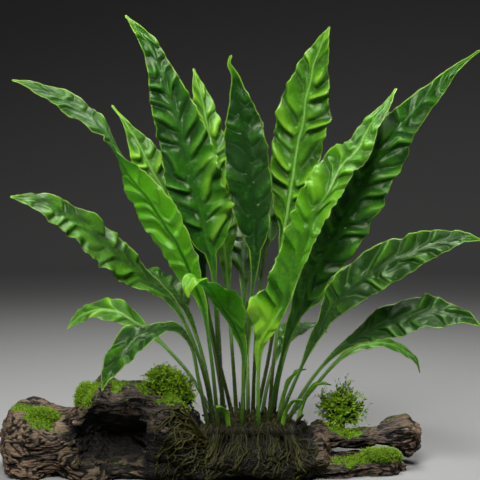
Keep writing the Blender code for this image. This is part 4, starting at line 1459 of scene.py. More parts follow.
        # Painted shade deep in the hollow under the ledge.
        depth = np.maximum(depth, 0.9 * self.hollow(held, turn, 2.0, 1.05))
        pale = pale + self.lip * ease(19.0, 9.0, base[..., 2]) * ease(-50.0, -58.0, base[..., 0])
        rings = self.plain(held, turn, slimmer) + ways * height[..., None]
        rings[..., 0] += x - held
        for at_stop in (False, True):
            if not self.joins[at_stop]:
                rings, depth, pale, ways = self.cap(rings, depth, pale, ways, at_stop)
        rings[..., 2] = np.maximum(rings[..., 2], 0.0)
        return skin(name, rings, self.marks(rings, depth, pale, ways[..., 2]))

    def marks(self, places: Array, depth: Array, pale: Array, level: Array) -> dict[str, Array]:
        """The marks of the limb's mesh.

        Args:
            places: Its points.
            depth: How deep in a crack or a hollow each is.
            pale: How much paler each is.
            level: How level the wood is there, 1 where it faces up.

        Returns:
            How pale, deep and mossy each point is.
        """
        mossy = ease(0.45, 0.95, level) * ease(-0.1, 0.6, noise(places / 11.0, 44)) * 0.6
        if self.in_plant_shade:
            # Painted shade where the fern and its roots shade the wood, low down from the hollow to the right
            # fork.
            edge = 3.0 * noise(places / 5.0, 50)
            shade = ease(-60.0, -52.0, places[..., 0] + edge) * ease(47.0, 42.0, places[..., 0] + edge)
            depth = np.maximum(depth, 0.62 * shade * ease(34.0, 26.0, places[..., 2] + edge))
        for *middle, radius in self.mossy:
            away = np.linalg.norm((places - middle) / radius, axis=-1) + 0.3 * noise(places / 3.0, 45)
            mossy = np.maximum(mossy, ease(1.1, 0.4, away))
        for *middle, radius, more in self.bare:
            pale = pale + more * ease(1.0, 0.5, np.linalg.norm((places - middle) / radius, axis=-1))
        pale = pale + np.interp(places[..., 0], *zip(*self.pale))
        return {"pale": pale, "depth": depth, "moss": mossy * ease(0.7, 0.3, depth)}

    def mark_pocket(self, places: Array, height: Array, depth: Array) -> tuple[Array, Array, Array]:
        """Presses in the pocket under the curl of bark, marks it for painted shade, and raises its pale rim.

        Args:
            places: Points of the plain form.
            height: How far each stands out.
            depth: How deep in a crack it is.

        Returns:
            The new heights and depths, and how much paler each point is.
        """
        x, y, z = np.moveaxis(places, -1, 0)
        away = np.hypot((x - self.POCKET_X) / self.POCKET_HALF_X, (z - self.POCKET_Z) / self.POCKET_HALF_Z)
        away = away + 0.18 * noise(places / 5.0, 46)
        front = ease(-18.0, -26.0, y)
        pressed = ease(1.0, 0.7, away) * front
        rim = np.exp(-(((away - 1.18) / 0.16) ** 2)) * front * ease(-90.0, -100.0, x)
        height = height - self.POCKET_DEEP * pressed + self.POCKET_RIM * rim
        return height, np.maximum(depth, pressed * 0.95), 0.5 * rim

    def cap(self, rings: Array, depth: Array, pale: Array, ways: Array, at_stop: bool) -> tuple[Array, ...]:
        """Closes an end with a rough broken face.

        Args:
            rings: The limb's rings.
            depth: How deep in a crack each point is.
            pale: How much paler it is.
            ways: The way out of the wood there.
            at_stop: Whether it is the right end.

        Returns:
            The same four, with the rings of the cap.
        """
        edge = rings[-1 if at_stop else 0]
        middle = edge.mean(axis=0)
        share = (1.0 - np.linspace(0.0, 1.0, self.CAP_RINGS + 1)[1:] ** 0.9 * 0.985)[:, None, None]
        added = middle + (edge - middle) * share
        splinters = (1.0 - np.abs(noise(added / (1.0, 6.0, 2.2), 48))) ** 2
        rough = noise(added / 1.6, 47) * 0.7 + splinters * 1.2 + noise(added / 5.0, 49) * 1.4
        bulge = self.bulge * (1.0 - share[..., 0] ** 3) + rough * np.minimum((1.0 - share[..., 0]) * 6.0, 1.0)
        added[..., 0] += bulge if at_stop else -bulge
        shades = np.clip(0.5 - rough * 0.5, 0.0, 1.0)
        paler = np.full(shades.shape, 0.35)
        way = np.broadcast_to(np.array([1.0 if at_stop else -1.0, 0.0, 0.0]), added.shape)
        parts = [(rings, added), (depth, shades), (pale, paler), (ways, way)]
        if at_stop:
            return tuple(np.concatenate([old, new]) for old, new in parts)
        return tuple(np.concatenate([new[::-1], old]) for old, new in parts)


LIMBS: dict[str, Limb] = {
    "log": Limb(
        rows=(
            (FORK_LEFT, -43, 45, -8, 44), (-38, -47, 40, -8, 42), (-29, -49, 36, -6, 31),
            (-22, -48, 35, -4, 19.5), (-4, -46, 38, -4, 19), (12, -43, 42, -4, 18.5),
            (28, -42, 39, -4, 18.5), (40, -40, 33, -4, 20), (FORK_RIGHT, -37, 30, -4, 23),
        ),
        rings=170, sides=300, joins=(True, False), bulge=5.0, in_plant_shade=True,
        # Low in the middle, under the fern: painted shade.
        pale=((-50, 0.2), (-35, 0.15), (-20, 0.1), (38, 0.15), (47, 0.5), (56, 0.7)),
        bare=((52, -28, 19, 6, 0.9),),
        mossy=((-40, -20, 40, 8),),
    ),
    "left_limb": Limb(
        rows=(
            (-141, -20, 20, 6, 31), (-138, -29, 28, -4, 35), (-129, -37, 31, -10, 38),
            (-119, -41, 36, -10, 36.5), (-110, -38, 42, -10, 33), (-99, -43, 40, -10, 36),
            (-91, -46, 36, -10, 46), (-84, -46, 38, -10, 54), (-75, -44, 46, -10, 50),
            (-64, -46, 50, -10, 50), (FORK_LEFT, -43, 45, -8, 44),
        ),
        rings=190, sides=420, joins=(False, True), bulge=1.5, in_plant_shade=True, lip=0.45,
        # Low from the hollow to the fork: painted shade.
        pale=((-141, 0.75), (-116, 0.7), (-103, 0.55), (-93, 0.2), (-60, 0.15), (-50, 0.2)),
        mossy=((-117, -30, 34, 8.5), (-125, -24, 36, 6), (-92, -20, 47, 9), (-70, -30, 48, 7)),
    ),
    "upper_branch": Limb(
        rows=(
            (FORK_RIGHT, -12, 28, 11, 23.5), (56, -10, 24, 11, 22.5), (65, -8, 20, 11, 19.5),
            (76, -8, 20, 11, 21), (88, -9, 22, 12, 24.5), (97, -9, 20, 9, 28), (103, -8, 18, 3, 29),
            (107, -5, 13, 8, 25),
        ),
        rings=120, sides=170, joins=(True, False),
        pale=((48, 0.3), (60, 0.2), (90, 0.25), (98, 0.5), (107, 0.7)),
        bare=((103, -6, 26, 6, 0.7), (100, -8, 15, 4, 0.4)),
        mossy=((60, 4, 21, 8), (80, 6, 21, 5)),
    ),
    "lower_branch": Limb(
        rows=(
            (FORK_RIGHT, -36, 8, -4, 10.4), (60, -35, 6, -4, 9.6), (74, -29, 5, -4, 10),
            (86, -27, 0, -4, 11), (94, -22, -4, -3, 8.5), (97, -17, -9, -1, 5),
        ),
        rings=100, sides=150, joins=(True, False),
        pale=((48, 0.4), (70, 0.25), (97, 0.35)),
        mossy=((88, -18, 9, 7), (78, -16, 9, 6)),
    ),
}


@dataclass(frozen=True)
class Driftwood:
    """The driftwood, limb by limb."""

    limbs: dict[str, Limb]
    finish: WoodFinish = WoodFinish()

    def build(self) -> None:
        """Makes, dresses and places every limb."""
        material = self.finish.build()
        for name, limb in self.limbs.items():
            wood = limb.build(f"wood_{name}")
            wood.data.materials.append(material)
            slot = "driftwood_pale" if name == "left_limb" else "driftwood_dark"
            set_in_place(wood, f"driftwood_{name}", slot)


# Growth that is set out by node trees


class Growth:
    """A geometry node tree that grows something on a mesh, with named inputs."""

    def __init__(self, name: str, **takes: str) -> None:
        """Makes the tree and its inputs, the first of which is the ground that it grows on.

        Args:
            name: The tree's name.
            takes: The other inputs' socket types.
        """
        self.tree = bpy.data.node_groups.new(name, "GeometryNodeTree")
        kinds = {"Ground": "NodeSocketGeometry", **takes}
        for label, kind in kinds.items():
            self.tree.interface.new_socket(label, in_out="INPUT", socket_type=kind)
        self.tree.interface.new_socket("Grown", in_out="OUTPUT", socket_type="NodeSocketGeometry")
        source = self.tree.nodes.new("NodeGroupInput")
        self.take = {label: Signal(source.outputs[label]) for label in kinds}

    def measure(self, name: str) -> Signal:
        """A named number of the places that the tree works on."""
        setup = {"data_type": "FLOAT"}
        return flow(self.tree, "GeometryNodeInputNamedAttribute", "Attribute", setup, Name=name)

    def joined(self, *parts: Signal) -> Signal:
        """Several geometries in one."""
        node = put(self.tree, "GeometryNodeJoinGeometry")
        for part in parts:
            plug(node.inputs[0], part)
        return out(node, "Geometry")

    def end(self, geometry: Signal) -> None:
        """Ends the tree with one plain mesh in the material of its input Finish.

        Args:
            geometry: All that has grown.
        """
        whole = flow(self.tree, "GeometryNodeRealizeInstances", "Geometry", Geometry=geometry)
        finish = {"Geometry": whole, "Material": self.take["Finish"]}
        dressed = flow(self.tree, "GeometryNodeSetMaterial", "Geometry", **finish)
        plug(self.tree.nodes.new("NodeGroupOutput").inputs[0], dressed)

    def run(self, name: str, ground: Thing, **values: object) -> Thing:
        """Runs the tree on a mesh and keeps the result as a plain mesh.

        Args:
            name: The name of the new object.
            ground: The object that it grows from, which is taken away.
            values: The tree's inputs.

        Returns:
            The new object.
        """
        modifier = ground.modifiers.new("growth", "NODES")
        modifier.node_group = self.tree
        for item in self.tree.interface.items_tree:
            if item.in_out == "INPUT" and item.name in values:
                modifier[item.identifier] = values[item.name]
        graph = bpy.context.evaluated_depsgraph_get()
        done = ground.evaluated_get(graph)
        mesh = bpy.data.meshes.new_from_object(done, preserve_all_data_layers=True, depsgraph=graph)
        bpy.data.objects.remove(ground, do_unlink=True)
        return new_object(name, mesh)


@dataclass(frozen=True)
class Planting:
    """Sets one of three shoots at each of many places of a surface."""

    gap: float  # the least distance between two shoots
    least: float  # the size of the smallest shoot, as a share
    most: float  # the size of the largest
    lean: float  # how much the shoots stand up straight, rather than square to the surface
    spread: float  # how much they tilt at random
    seed: int  # the planting's own number

    MOST_TO_A_METRE = 1.0e7  # more shoots than the gap lets stand on a square metre

    def growth(self) -> Growth:
        """The node tree that takes a mesh with the marks cover and size and gives it back with shoots on it.

        Returns:
            The growth, whose inputs are the planting's sizes, the finish and three shoots.
        """
        sizes = dict.fromkeys(("Gap", "Least", "Most", "Lean", "Spread"), "NodeSocketFloat")
        kinds = dict.fromkeys(("First", "Second", "Third"), "NodeSocketObject")
        growth = Growth("planting", **sizes, Seed="NodeSocketInt", Finish="NodeSocketMaterial", **kinds)
        tree, take = growth.tree, growth.take
        places = put(
            tree, "GeometryNodeDistributePointsOnFaces", {"distribute_method": "POISSON"},
            Mesh=take["Ground"], Distance_Min=take["Gap"], Density_Max=self.MOST_TO_A_METRE,
            Density_Factor=growth.measure("cover"), Seed=take["Seed"],
        )
        toned = flow(
            tree, "GeometryNodeStoreNamedAttribute", "Geometry", {"data_type": "FLOAT", "domain": "POINT"},
            Geometry=out(places, "Points"), Name="tone", Value=self.draw(tree, "FLOAT", 0.0, 1.0, 1),
        )
        stray = self.draw(tree, "FLOAT_VECTOR", (-1.0, -1.0, -1.0), (1.0, 1.0, 1.0), 2)
        way = calculate(tree, VECTOR_MATHS, "MULTIPLY_ADD", stray, take["Spread"], out(places, "Normal"))
        upright = calculate(tree, VECTOR_MATHS, "MULTIPLY_ADD", (0.0, 0.0, 1.0), take["Lean"], way)
        aimed = flow(tree, "FunctionNodeAlignRotationToVector", "Rotation", {"axis": "Z"}, Vector=upright)
        angle = self.draw(tree, "FLOAT", 0.0, 2.0 * math.pi, 3)
        spin = flow(tree, "FunctionNodeAxisAngleToRotation", "Rotation", Axis=(0.0, 0.0, 1.0), Angle=angle)
        turned = flow(
            tree, "FunctionNodeRotateRotation", "Rotation", {"rotation_space": "LOCAL"},
            Rotation=aimed, Rotate_By=spin,
        )
        shoots = [
            flow(tree, "GeometryNodeObjectInfo", "Geometry", Object=take[label], As_Instance=True)
            for label in ("Third", "Second", "First")
        ]
        planted = flow(
            tree, "GeometryNodeInstanceOnPoints", "Instances",
            Points=toned, Rotation=turned, Instance=growth.joined(*shoots),
            Pick_Instance=True, Instance_Index=self.draw(tree, "INT", 0, 2, 5),
            Scale=self.draw(tree, "FLOAT", take["Least"], take["Most"], 4) * growth.measure("size"),
        )
        growth.end(growth.joined(planted, take["Ground"]))
        return growth

    @staticmethod
    def draw(tree: Tree, kind: str, least: object, most: object, seed: int) -> Signal:
        """A random value of a kind for each place."""
        limits = {"Min": least, "Max": most, "Seed": seed}
        return flow(tree, "FunctionNodeRandomValue", "Value", {"data_type": kind}, **limits)

    def grow(self, name: str, ground: Thing, shoots: list[Thing], finish: Material) -> Thing:
        """Plants the shoots on the ground and keeps both as one plain mesh.

        Args:
            name: The name of the new object.
            ground: A mesh with the marks cover, size, reach and tone, which is taken away.
            shoots: Three shoots, which stay.
            finish: The material of all of it.

        Returns:
            The new object.
        """
        sizes = {"Gap": self.gap * MM, "Least": self.least, "Most": self.most, "Lean": self.lean}
        kinds = dict(zip(("First", "Second", "Third"), shoots))
        sizes.update(Spread=self.spread, Seed=self.seed)
        return self.growth().run(name, ground, Finish=finish, **sizes, **kinds)


@dataclass
class Gathering:
    """Small closed forms that become one mesh."""

    points: list[Array] = field(default_factory=list)
    faces: list[Array] = field(default_factory=list)
    marks: dict[str, list[Array]] = field(default_factory=dict)
    count: int = 0

    def add(self, points: Array, faces: list[Array], **marks: Array) -> None:
        """Adds one form, whose faces already turn outwards, and its marks.

        Args:
            points: The form's points.
            faces: Its faces, which turn outwards.
            marks: A value for each point.
        """
        self.points.append(points)
        self.faces += [group + self.count for group in faces]
        for name, values in marks.items():
            self.marks.setdefault(name, []).append(values)
        self.count += len(points)

    def add_ground(self, rings: Array, **marks: Array | float) -> None:
        """Adds a closed form of rings, with marks that are one number or one for each point."""
        count, sides = rings.shape[:2]
        spread = {name: np.broadcast_to(values, (count, sides)).ravel() for name, values in marks.items()}
        self.add(rings.reshape(-1, 3), tube_faces(count, sides), **spread)

    def add_tube(self, line: Array, radii: Array, sides: int, **marks: Array) -> None:
        """Adds a tube along a line.

        Args:
            line: The line's points.
            radii: The tube's radius at each.
            sides: How many sides it has.
            marks: Values for each point of the line.
        """
        ways = unit(np.gradient(line, axis=0))
        first = unit(np.cross(ways, [0.31, 0.87, 0.38]))
        second = np.cross(ways, first)
        turn = turns(sides)[:, None]
        around = first[:, None] * np.cos(turn) + second[:, None] * np.sin(turn)
        rings = line[:, None] + around * radii[:, None, None]
        self.add_ground(rings, **{name: values[:, None] for name, values in marks.items()})

    def build(self, name: str) -> Thing:
        """Makes one mesh object of all the forms."""
        marks = {mark_name: np.concatenate(values) for mark_name, values in self.marks.items()}
        return mesh_object(name, np.concatenate(self.points), self.faces, marks)


@dataclass(frozen=True)
class Shoot:
    """A shoot of moss: a bent stem with small leaves on both sides."""

    length: float  # the stem's length
    leaves: int  # how many leaves it has
    leaf: float  # the length of a leaf
    bend: float  # how far its tip bends over, as a share of its length
    seed: int  # its own number
    stem: float = 0.16  # the stem's radius
    curl: float = 0.12  # how far it curls to its side, as a share of its length

    def build(self, name: str) -> Thing:
        """Makes the shoot, standing on the origin.

        Args:
            name: The object's name.

        Returns:
            The shoot.
        """
        rng = np.random.default_rng(self.seed)
        whole = Gathering()
        t = np.linspace(0.0, 1.0, 5)
        bent = stack(self.bend * t**2, self.curl * np.sin(t * 4.5), t - 0.5 * self.bend * t**3)
        line = bent * self.length
        whole.add_tube(line, self.stem * (1.25 - t), 3, reach=0.2 + t * 0.6)
        faces = [np.array([(0, 1, 2), (0, 3, 1), (1, 3, 2), (2, 3, 0)])]
        for i in range(self.leaves):
            share = (i + 1.0) / self.leaves
            foot = np.array([np.interp(share, t, line[:, k]) for k in range(3)])
            turn = i * 2.4 + rng.uniform(-0.3, 0.3)
            outwards = np.array([math.cos(turn), math.sin(turn), 0.0])
            way = unit(outwards * 0.8 + UP * (0.55 + 0.8 * share))
            wide = np.cross(way, unit(UP - outwards * 0.4))
            long = self.leaf * rng.uniform(0.8, 1.2) * (1.15 - 0.4 * share)
            middle = foot + way * long * 0.45
            thick = np.cross(wide, way) * 0.10
            edge = wide * long * 0.24
            points = np.array([middle + edge, middle - edge, foot + way * long, foot + thick])
            reach = np.array([0.7, 0.7, 1.0, 0.35]) * (0.55 + 0.45 * share)
            whole.add(points, faces, reach=reach)
        shoot = whole.build(name)
        shoot.data.shade_flat()
        return shoot


# Moss


@dataclass(frozen=True)
class Carpet:
    """A thin patch of moss on a limb."""

    limb: str  # the limb
    x: float  # its middle along the limb
    half: float  # half its length
    turn: float  # its middle about the limb, in degrees
    half_turn: float  # half its width, in degrees
    thick: float = 0.8  # how much of it is covered, from 0 to 1

    ROWS = 44
    COLUMNS = 34
    DEEP = 1.6
    PROUD = 0.35
    SIZE = 0.42

    def add_to(self, whole: Gathering) -> None:
        """Adds the patch, as a thin sheet whose edge runs into the wood.

        Args:
            whole: What the patch becomes a part of.
        """
        along = np.linspace(-1.0, 1.0, self.ROWS)[:, None]
        across = np.linspace(-1.0, 1.0, self.COLUMNS)[None, :]
        middle, middle_turn = self.x + self.half * along, self.turn + self.half_turn * across
        x, turn = np.broadcast_arrays(middle, np.radians(middle_turn))
        limb = LIMBS[self.limb]
        grain = noise(limb.plain(x, turn) / 4.5, 55)
        inside = ease(1.0, 0.55, np.hypot(along, across) + 0.45 * grain)
        proud = blend(-0.9, self.PROUD, inside) + 0.25 * inside * noise(x[..., None] / 1.3, 56)
        top = limb.surface(x, turn, proud)
        under = limb.surface(x, turn, -self.DEEP)
        rings = np.concatenate([top, under[:, ::-1]], axis=1)
        cover = inside * ease(-0.6, 0.3, grain + self.thick - 0.5)
        cover = np.concatenate([cover, np.zeros(under.shape[:2])], axis=1)
        whole.add_ground(rings, cover=cover, reach=0.25, tone=0.4, size=self.SIZE)


@dataclass(frozen=True)
class MossCushion:
    """A cushion of moss."""

    middle: Place  # its middle
    halves: Place  # its half sizes
    planting: Planting  # how its shoots stand
    core: float = 0.85  # the share of its half sizes that is dense
    size: float = 0.5  # the size of its shoots
    shoots: str = "leafy"  # which kind of shoots they are
    slope: float = 0.0  # how much it rises towards the right
    carpets: tuple[Carpet, ...] = ()  # the thin patches round it

    RINGS = 40
    SIDES = 60

    def ground(self) -> Thing:
        """Makes the dense inside of the cushion and its carpets.

        Returns:
            A mesh with marks that say how shoots stand on it.
        """
        rise = np.linspace(-1.0, 1.0, self.RINGS)[:, None] * 0.499 * math.pi
        turn = turns(self.SIDES)[None, :]
        level = np.cos(rise)
        ball = stack(level * np.cos(turn), level * np.sin(turn), np.sin(rise))
        reach = ball * np.array(self.halves) * self.core
        lumps = 0.24 * noise((self.middle + reach) / 6.0, 51) + 0.08 * noise((self.middle + reach) / 2.6, 52)
        places = self.middle + reach * (1.0 + lumps[..., None])
        places[..., 2] += self.slope * reach[..., 0]
        places[..., 2] = np.maximum(places[..., 2], 0.2)
        open_air = 1.0 - np.any([limb.holds(places) for limb in LIMBS.values()], axis=0)
        whole = Gathering()
        whole.add_ground(places, cover=open_air, reach=0.10, tone=0.5 + lumps, size=self.size)
        for carpet in self.carpets:
            carpet.add_to(whole)
        return whole.build("moss_ground")


CUSHIONS: dict[str, MossCushion] = {
    "left_end": MossCushion(
        middle=(-119, -16, 32), halves=(12, 10, 6),
        planting=Planting(0.85, 0.7, 1.3, 0.5, 0.8, 1),
        carpets=(Carpet("left_limb", -117, 11, 122, 17), Carpet("left_limb", -131, 7, 100, 20, 0.5)),
    ),
    "ledge_end": MossCushion(
        middle=(-92, -6, 41), halves=(6.5, 15, 11),
        planting=Planting(0.85, 0.7, 1.3, 0.4, 0.8, 2),
        carpets=(Carpet("left_limb", -88, 6, 112, 22), Carpet("left_limb", -72, 8, 96, 16, 0.4)),
    ),
    "on_ledge": MossCushion(
        middle=(-43, 13, 44), halves=(15, 12, 13), core=0.78, size=0.85, shoots="curly", slope=-0.4,
        planting=Planting(1.5, 0.7, 1.2, 0.2, 0.8, 3),
        carpets=(Carpet("log", -40, 10, 104, 20, 0.7), Carpet("left_limb", -59, 7, 96, 14, 0.7)),
    ),
    "tuft_right": MossCushion(
        middle=(62, 16, 30), halves=(16, 10, 17), core=0.45, size=1.0, shoots="wispy",
        planting=Planting(1.9, 0.8, 1.5, 0.7, 0.9, 4),
        carpets=(Carpet("upper_branch", 64, 13, 112, 30, 0.7),),
    ),
    "lower_right": MossCushion(
        middle=(84, -17, 9), halves=(13, 9, 5),
        planting=Planting(0.85, 0.7, 1.3, 0.5, 0.8, 5),
        carpets=(Carpet("lower_branch", 72, 22, 118, 34, 0.9),),
    ),
}


@dataclass(frozen=True)
class Moss:
    """All the moss."""

    cushions: dict[str, MossCushion]
    finish: FuzzFinish = FuzzFinish(
        name="moss_green", roughness=0.7, clearness=0.35,
        foot=(0.014, 0.042, 0.001), tip=(0.145, 0.34, 0.007), other=(0.34, 0.50, 0.02),
    )

    KINDS = {
        "leafy": (Shoot(4.6, 8, 1.9, 0.35, 1), Shoot(5.4, 8, 1.6, 0.6, 2), Shoot(3.8, 8, 2.1, 0.15, 3)),
        "curly": (
            Shoot(6.0, 7, 2.7, 0.7, 4, 0.42, 0.25),
            Shoot(7.0, 8, 2.4, 0.9, 5, 0.38, -0.3),
            Shoot(4.5, 7, 3.0, 0.4, 6, 0.40, 0.2),
        ),
        "wispy": (
            Shoot(9.0, 12, 2.6, 0.7, 7, 0.34, 0.15),
            Shoot(11.0, 14, 2.4, 1.0, 8, 0.32, -0.2),
            Shoot(6.0, 10, 2.8, 0.3, 9, 0.34, 0.1),
        ),
    }

    def build(self) -> None:
        """Makes, dresses and places every cushion."""
        material = self.finish.build()
        shoots = {
            kind: [shape.build(f"shoot_{kind}_{i}") for i, shape in enumerate(shapes)]
            for kind, shapes in self.KINDS.items()
        }
        for name, cushion in self.cushions.items():
            tuft = cushion.planting.grow(f"shoots_{name}", cushion.ground(), shoots[cushion.shoots], material)
            set_in_place(tuft, f"moss_{name}", "moss")
        for shoot in sum(shoots.values(), []):
            bpy.data.objects.remove(shoot, do_unlink=True)


# Rhizome and roots

STRAND_HEIGHT = 23.6  # of the middle line of every strand


@dataclass(frozen=True)
class Strand:
    """A strand of the creeping rhizome: both ends along x, its y and its sway."""

    start: float
    stop: float
    y: float
    sway: float


STRANDS: dict[str, Strand] = {
    "main_stem": Strand(-20.0, 41.0, -2.0, 0.8),
    "front_branch": Strand(-23.0, 29.0, -14.0, 0.6),
    "back_branch": Strand(-20.0, 34.0, 10.0, 0.6),
    "rear_branch": Strand(-21.0, 25.0, 21.0, 0.5),
}


@dataclass(frozen=True)
class Rhizome:
    """The creeping rhizome, with hairs and the stubs of old fronds."""

    strands: dict[str, Strand]
    radius: float = 3.5
    height: float = STRAND_HEIGHT
    wave: float = 1.5  # how far a strand rises and falls
    rings: int = 110
    sides: int = 30
    finish: FuzzFinish = FuzzFinish(
        name="rhizome_brown",
        foot=(0.005, 0.0045, 0.0015), tip=(0.018, 0.012, 0.003), other=(0.022, 0.030, 0.004),
    )
    planting: Planting = Planting(0.85, 0.7, 1.5, 0.1, 0.9, 11)

    STUBS = 20
    HAIRS = 2

    def ground(self, strand: Strand, seed: int) -> Thing:
        """Makes the strand itself, with its old stubs.

        Args:
            strand: The strand.
            seed: Its own number.

        Returns:
            A mesh with marks that say where hairs stand.
        """
        rng = np.random.default_rng(seed)
        whole = Gathering()
        share = np.linspace(0.0, 1.0, self.rings)
        x = blend(strand.start, strand.stop, share)
        roundness = np.sqrt(np.maximum(1.0 - (2.0 * share - 1.0) ** 8, 0.004))
        height = self.height + self.wave * noise_at(64, x / 7.0, strand.y, 0.0)
        line = stack(x, strand.y + strand.sway * np.sin(x * 0.4), height)
        turn = turns(self.sides)
        around = stack(0.0, np.cos(turn), np.sin(turn))
        places = line[:, None] + around[None] * self.radius
        size = self.radius * (1.0 + 0.10 * noise(places / 3.4, 61) + 0.05 * noise(places / 1.1, 62))
        places = line[:, None] + around[None] * (size * roundness[:, None])[..., None]
        whole.add_ground(places, cover=1.0, reach=0.35, tone=0.4 + 0.5 * noise(places / 4.0, 63), size=1.0)
        for _ in range(self.STUBS):
            self.add_stub(whole, strand, rng)
        return whole.build("rhizome_ground")

    def add_stub(self, whole: Gathering, strand: Strand, rng: np.random.Generator) -> None:
        """Adds the bare stub of an old frond, which leans at random.

        Args:
            whole: What it becomes a part of.
            strand: The strand that it stands on.
            rng: Where the random values come from.
        """
        at = rng.uniform(strand.start + 3.0, strand.stop - 3.0)
        lean = unit(np.array([rng.uniform(-0.5, 0.5), rng.uniform(-0.7, 0.7), 1.0]))
        t = np.linspace(0.0, 1.0, 6)
        foot = np.array([at, strand.y, self.height + 1.5])
        stub = foot + lean * (t * rng.uniform(4.0, 10.0))[:, None]
        stub += stack(0.5 * np.sin(t * 5.0 + at), 0.4 * np.cos(t * 4.0 + at), 0.0)
        radii = rng.uniform(0.6, 1.15) * (1.0 - 0.35 * t)
        tone = np.full(t.shape, rng.uniform(0.0, 0.8))
        whole.add_tube(stub, radii, 8, cover=0.0 * t, reach=0.3 + 0.6 * t, tone=tone, size=0.0 * t)

    def hair(self, name: str, seed: int) -> Thing:
        """A short bent hair with a few side hairs, standing on the origin.

        Args:
            name: The object's name.
            seed: The hair's own number.

        Returns:
            The hair.
        """
        rng = np.random.default_rng(seed)
        whole = Gathering()
        t = np.linspace(0.0, 1.0, 4)
        for _ in range(self.HAIRS):
            across, along = rng.uniform(-0.6, 0.6, 2)
            line = stack(across * t**2, along * t**2, t - 0.5 * t**3) * rng.uniform(1.2, 2.8)
            whole.add_tube(line, 0.13 * (1.1 - t), 3, reach=0.4 + t * 0.6)
        return whole.build(name)

    def build(self) -> None:
        """Makes, dresses and places every strand."""
        material = self.finish.build()
        hairs = [self.hair(f"hair_{i}", 70 + i) for i in range(3)]
        for seed, (name, strand) in enumerate(self.strands.items()):
            stem = self.planting.grow(f"stem_{name}", self.ground(strand, seed), hairs, material)
            set_in_place(stem, f"rhizome_{name}", "rhizome")
        for hair in hairs:
            bpy.data.objects.remove(hair, do_unlink=True)


